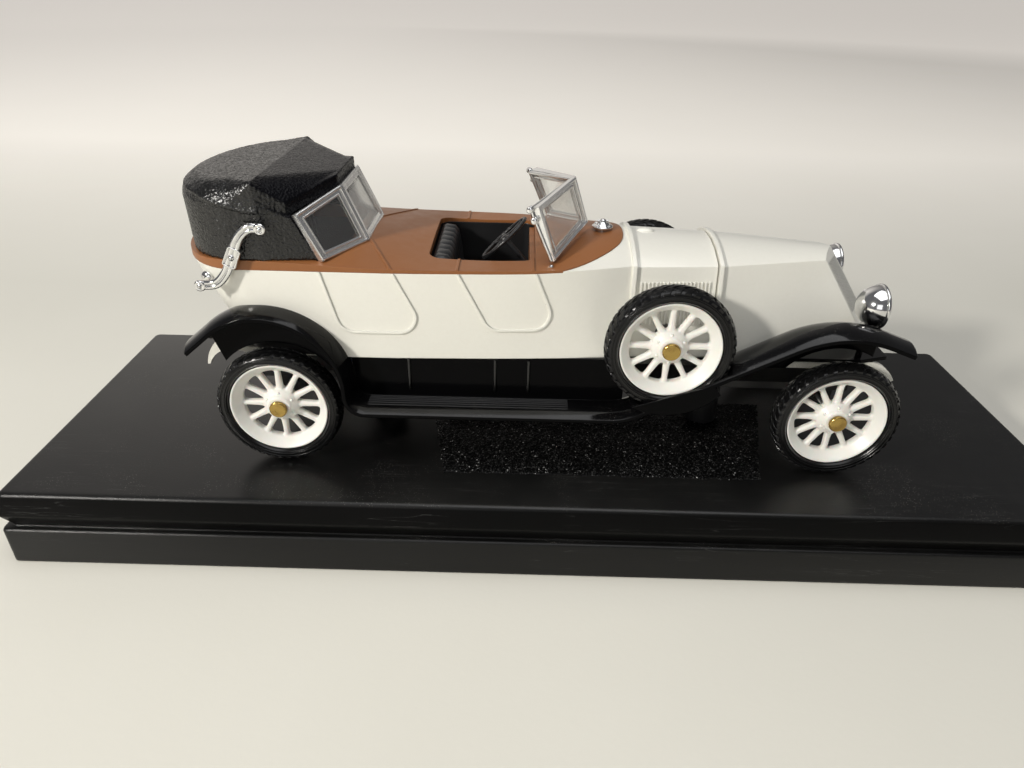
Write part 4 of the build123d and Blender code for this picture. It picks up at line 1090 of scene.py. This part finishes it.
def make_lamps_on_car():
    """Head lamps with a rolled rim, a reflector and a ribbed lens, on black stalks."""
    bowl, bulb, lens = lathe(LAMP_BOWL, 56), lathe(LAMP_BULB, 16), lens_form()
    for side_name, outward in SIDES:
        node = "headlamp_" + side_name
        low, high = box_mm(node)
        centre = Vector((high.x - 0.45, (low.y + high.y) / 2, high.z - 3.65))
        place = aimed(centre, (1, 0, 0))
        lamp = Form().add(bowl, place).add(bulb, place)
        foot = Vector((centre.x - 0.8, centre.y, low.z))
        knee = foot + Vector((0, 0, 3.2))
        neck = centre + Vector((-0.9, 0, -3.0))
        lamp.add(tube([knee, knee + Vector((0, 0, 1.0)), neck], 0.5))
        stalk = tube([foot, foot + Vector((0, 0, 1.6)), knee + Vector((0, 0, 0.1))], 0.52)
        make_piece("lamp_stalk_" + side_name, stalk, "wing_black")
        lamp.add(lathe(LAMP_SOCKET, 24), Matrix.Translation(centre + Vector((-0.9, 0, 0))))
        make_piece("lamp_" + side_name, lamp, "chrome", [node], crease=60)
        make_piece("lens_" + side_name, Form().add(lens, place @ moved(0, 0, 0.02)),
                   "lens_glass", ["headlamp_lens_" + side_name])


STEERING_RADIUS = 4.6
STEERING_LEAN, STEERING_TURN = radians(46), radians(10)


def make_steering_wheel():
    """Rim with finger grips, four spokes and a boss."""
    lean, turn = STEERING_LEAN, STEERING_TURN
    axis = (-cos(lean) * cos(turn), cos(lean) * sin(turn), sin(lean))
    rows = []
    for k in range(96):
        around = 2 * pi * k / 96
        thick = 0.29 + 0.03 * cos(24 * around)
        spine = Vector((cos(around), sin(around), 0))
        rows.append([
            spine * (STEERING_RADIUS + thick * cos(t)) + Vector((0, 0, thick * sin(t)))
            for t in (2 * pi * j / 12 for j in range(12))
        ])
    wheel = Form().sheet(rows, ring=True, loop=True)
    for k in range(4):
        around = pi / 4 + k * pi / 2
        spine = Vector((cos(around), sin(around), 0))
        line = [spine * 0.6, spine * 2.6 + Vector((0, 0, -0.12)), spine * 4.55]
        wheel.add(tube(line, 0.24, up=(0, 0, 1), flat=0.6))
    wheel.add(lathe(((0.6, -0.4), (0.95, -0.25), (0.95, 0.1), (0.6, 0.32), (0.02, 0.38)), 28))
    place = aimed(middle("steering_wheel"), axis)
    make_piece("hand_wheel", Form().add(wheel, place), "trim_black", ["steering_wheel"],
               crease=60)


# The grille is scanned level by level: first height above the plinth, step up, step sideways
GRILLE_FIRST, GRILLE_LEVELS, GRILLE_STEP = 24.8, 64, 0.135
GRILLE_SCAN_STEP, GRILLE_SCANS, GRILLE_COLUMNS = 0.15, 48, 24
RIB_PITCH, RIB_DEPTH, RIB_SLANT = 0.55, 0.11, 0.6


def make_grille():
    """Fine slanting ribs moulded on both faces of the pointed nose."""
    bonnet = frame["nodes"]["bonnet"]
    for side_name, outward in SIDES:
        rows = []
        for i in range(GRILLE_LEVELS):
            z = GROUND + GRILLE_FIRST + GRILLE_STEP * i
            face = []
            for k in range(1, GRILLE_SCANS):
                start = Vector((80, outward * GRILLE_SCAN_STEP * k, z)) * MM
                found, spot, normal, _ = bonnet.ray_cast(start, Vector((-1, 0, 0)))
                if found and normal.x > 0.35:
                    face.append((spot / MM, normal.copy()))
            if len(face) < 12:
                continue
            (first, normal), (last, _) = face[1], face[-4]
            row = []
            for k in range(GRILLE_COLUMNS + 1):
                t = k / GRILLE_COLUMNS
                spot = first.lerp(last, t)
                fade = min(min(t, 1 - t) * 6, 1.0)
                rib = 0.5 + 0.5 * sin(2 * pi * (spot.z - RIB_SLANT * abs(spot.y)) / RIB_PITCH)
                row.append(spot + normal * (0.02 + RIB_DEPTH * rib * fade))
            rows.append(row)
        # Its finish is the castings' paint darkened as painted shade
        make_piece("grille_" + side_name, Form().sheet(rows), "body_white", crease=180,
                   finish="grille_shaded_grey")


# Profile of the scuttle's cap: radius, height
CAP = (
    (1.30, -0.6), (1.32, 0.05), (1.62, 0.12), (1.75, 0.22), (1.75, 0.40), (1.60, 0.52),
    (1.15, 0.60), (1.02, 0.85), (0.86, 0.98), (0.60, 1.05), (0.52, 1.35), (0.40, 1.52),
    (0.02, 1.58),
)
CAP_HEIGHT = 37.0
RIDGE_PLACES = (-23.8, -9.4, -3.8)
BOARD_RIBS, BOARD_RIB_FIRST, BOARD_RIB_STEP = 6, 14.15, 0.55
BOARD_TOP = 11.4
# Columns of the running board's crown: y, drop from its top
BOARD_INNER, BOARD_CREST, BOARD_OUTER = (10.9, -1.9), (15.3, 0.0), (19.0, -0.9)


def board_height(y):
    """Height of the running board's crowned top above the plinth."""
    crest = BOARD_CREST[0]
    end, drop = BOARD_INNER if y < crest else BOARD_OUTER
    return BOARD_TOP + drop * ((y - crest) / (end - crest)) ** 2


def make_trim():
    """Cap, deck studs, a blister on the louvred top, valance ridges and board ribs."""
    cap = lathe(CAP, 36)
    for k in range(4):
        angle = pi / 4 + k * pi / 2
        cap.add(dome(0.26, 0.26, 12), moved(1.42 * cos(angle), 1.42 * sin(angle), 0.5))
    cap.add(tube([(-0.95, 0, 1.2), (0.95, 0, 1.2)], 0.2, up=(0, 0, 1)))
    low, high = box_mm("scuttle_cap")
    place = moved((low.x + high.x) / 2, 0, GROUND + CAP_HEIGHT)
    make_piece("filler_cap", Form().add(cap, place), "chrome", ["scuttle_cap"], crease=60)

    studs, ridges, ribs = Form(), Form(), Form()
    for outward in (-1, 1):
        studs.add(dome(0.34, 0.25, 14), moved(-0.8, outward * 12.9, GROUND + 34.8))
        for x in RIDGE_PLACES:
            ridge = [(x, outward * 13.5, GROUND + 12.4), (x, outward * 13.5, GROUND + 18.4)]
            ridges.add(tube(ridge, 0.3, up=(1, 0, 0)))
        for k in range(BOARD_RIBS):
            y = BOARD_RIB_FIRST + BOARD_RIB_STEP * k
            z = GROUND + board_height(y)
            rib = [(-30.5, outward * y, z), (3.0, outward * y, z)]
            ribs.add(tube(rib, 0.15, up=(0, 0, 1), steps=8))
    make_piece("deck_studs", studs, "chrome")
    place = moved(15.6, 1.0, GROUND + 36.3) @ Matrix.Diagonal((1.5, 0.95, 0.62, 1))
    make_piece("top_blister", Form().add(dome(1.0, 1.0, 32), place), "body_white", crease=70)
    make_piece("valance_ridges", ridges, "wing_black", finish="ridge_black")
    make_piece("board_ribs", ribs, "wing_black", finish="ridge_black")


# Plinth

PAD_NEAR, PAD_FAR, PAD_STEP = -20.7, 5.0, 0.22
# X of the pad's ends at its near edge, and how far each moves out at its far edge
PAD_REAR, PAD_FRONT, PAD_REAR_FLARE, PAD_FRONT_FLARE = -18.2, 36.6, 5.0, 6.5

# Columns: height, length, width, corner radius
PLINTH_OUTER = (
    (0.0, 179.6, 59.9, 0.9), (0.25, 180.0, 60.3, 1.0), (6.6, 180.0, 60.3, 1.0),
    (6.9, 179.7, 60.0, 1.0), (7.0, 179.2, 59.5, 0.9), (7.02, 177.5, 57.8, 0.7),
    (7.2, 177.4, 57.7, 0.7), (9.6, 179.7, 60.0, 1.0), (9.8, 179.95, 60.2, 1.1),
    (10.1, 179.95, 60.2, 1.1), (10.3, 179.8, 60.1, 1.1), (13.1, 178.5, 58.8, 1.1),
    (13.5, 178.1, 58.4, 1.0), (13.66, 177.6, 57.9, 0.9), (13.7, 177.0, 57.3, 0.8),
)
PLINTH_HOLLOW = (
    (11.3, 169.2, 49.5, 1.0), (5.4, 169.2, 49.5, 1.0), (5.4, 175.6, 55.9, 1.0),
    (0.0, 175.6, 55.9, 1.0),
)


def make_strip():
    """The granular pad on the plinth's top, under the car's middle and out to its right."""
    across = int((PAD_FAR - PAD_NEAR) / PAD_STEP)
    along = int((PAD_FRONT - PAD_REAR) / PAD_STEP)
    rows = []
    for i in range(across + 1):
        share = i / across
        y = PAD_NEAR + (PAD_FAR - PAD_NEAR) * share
        start = PAD_REAR - PAD_REAR_FLARE * share
        stop = PAD_FRONT + PAD_FRONT_FLARE * share
        row = []
        for j in range(along + 1):
            spot = Vector((start + (stop - start) * j / along, y, 0))
            edge = min(spot.x - start, stop - spot.x, y - PAD_NEAR, PAD_FAR - y)
            ragged = 0.5 + 0.4 * noise.noise(spot * 0.9)
            distances = noise.voronoi(spot / 0.5)[0]
            grain = 0.05 + 0.20 * min((distances[1] - distances[0]) / 0.5, 1.0)
            rise = grain if edge > ragged else -0.15
            row.append((spot.x, spot.y, GROUND + rise))
        rows.append(row)
    make_piece("plinth_strip", Form().sheet(rows), "plinth_black", crease=180,
               finish="plinth_glitter")


def make_plinth():
    """The plinth with softly rounded edges, hollow from below."""
    rows = [rounded_ring(*row) for row in PLINTH_OUTER]
    plinth = Form().sheet(rows, ring=True)
    width = len(rows[0])
    plinth.faces.append(tuple(range((len(rows) - 1) * width, len(rows) * width)))
    start = len(plinth.points)
    plinth.sheet([rounded_ring(*row) for row in PLINTH_HOLLOW], ring=True)
    plinth.faces.append(tuple(start + j for j in range(width)))
    foot = start + (len(PLINTH_HOLLOW) - 1) * width
    for j in range(width):
        k = (j + 1) % width
        plinth.faces.append((foot + j, foot + k, k, j))
    make_piece("plinth_moulding", plinth, "plinth_black", ["plinth"], crease=32)


make_camera()
make_world()
make_lamps()
make_floor()
finish_cad_nodes()
make_plinth()
make_wheels()
make_hood()
make_seats()
make_screen_fittings()
make_irons()
make_lamps_on_car()
make_steering_wheel()
make_trim()
make_grille()
make_strip()

bpy.context.scene.view_settings.view_transform = "Standard"
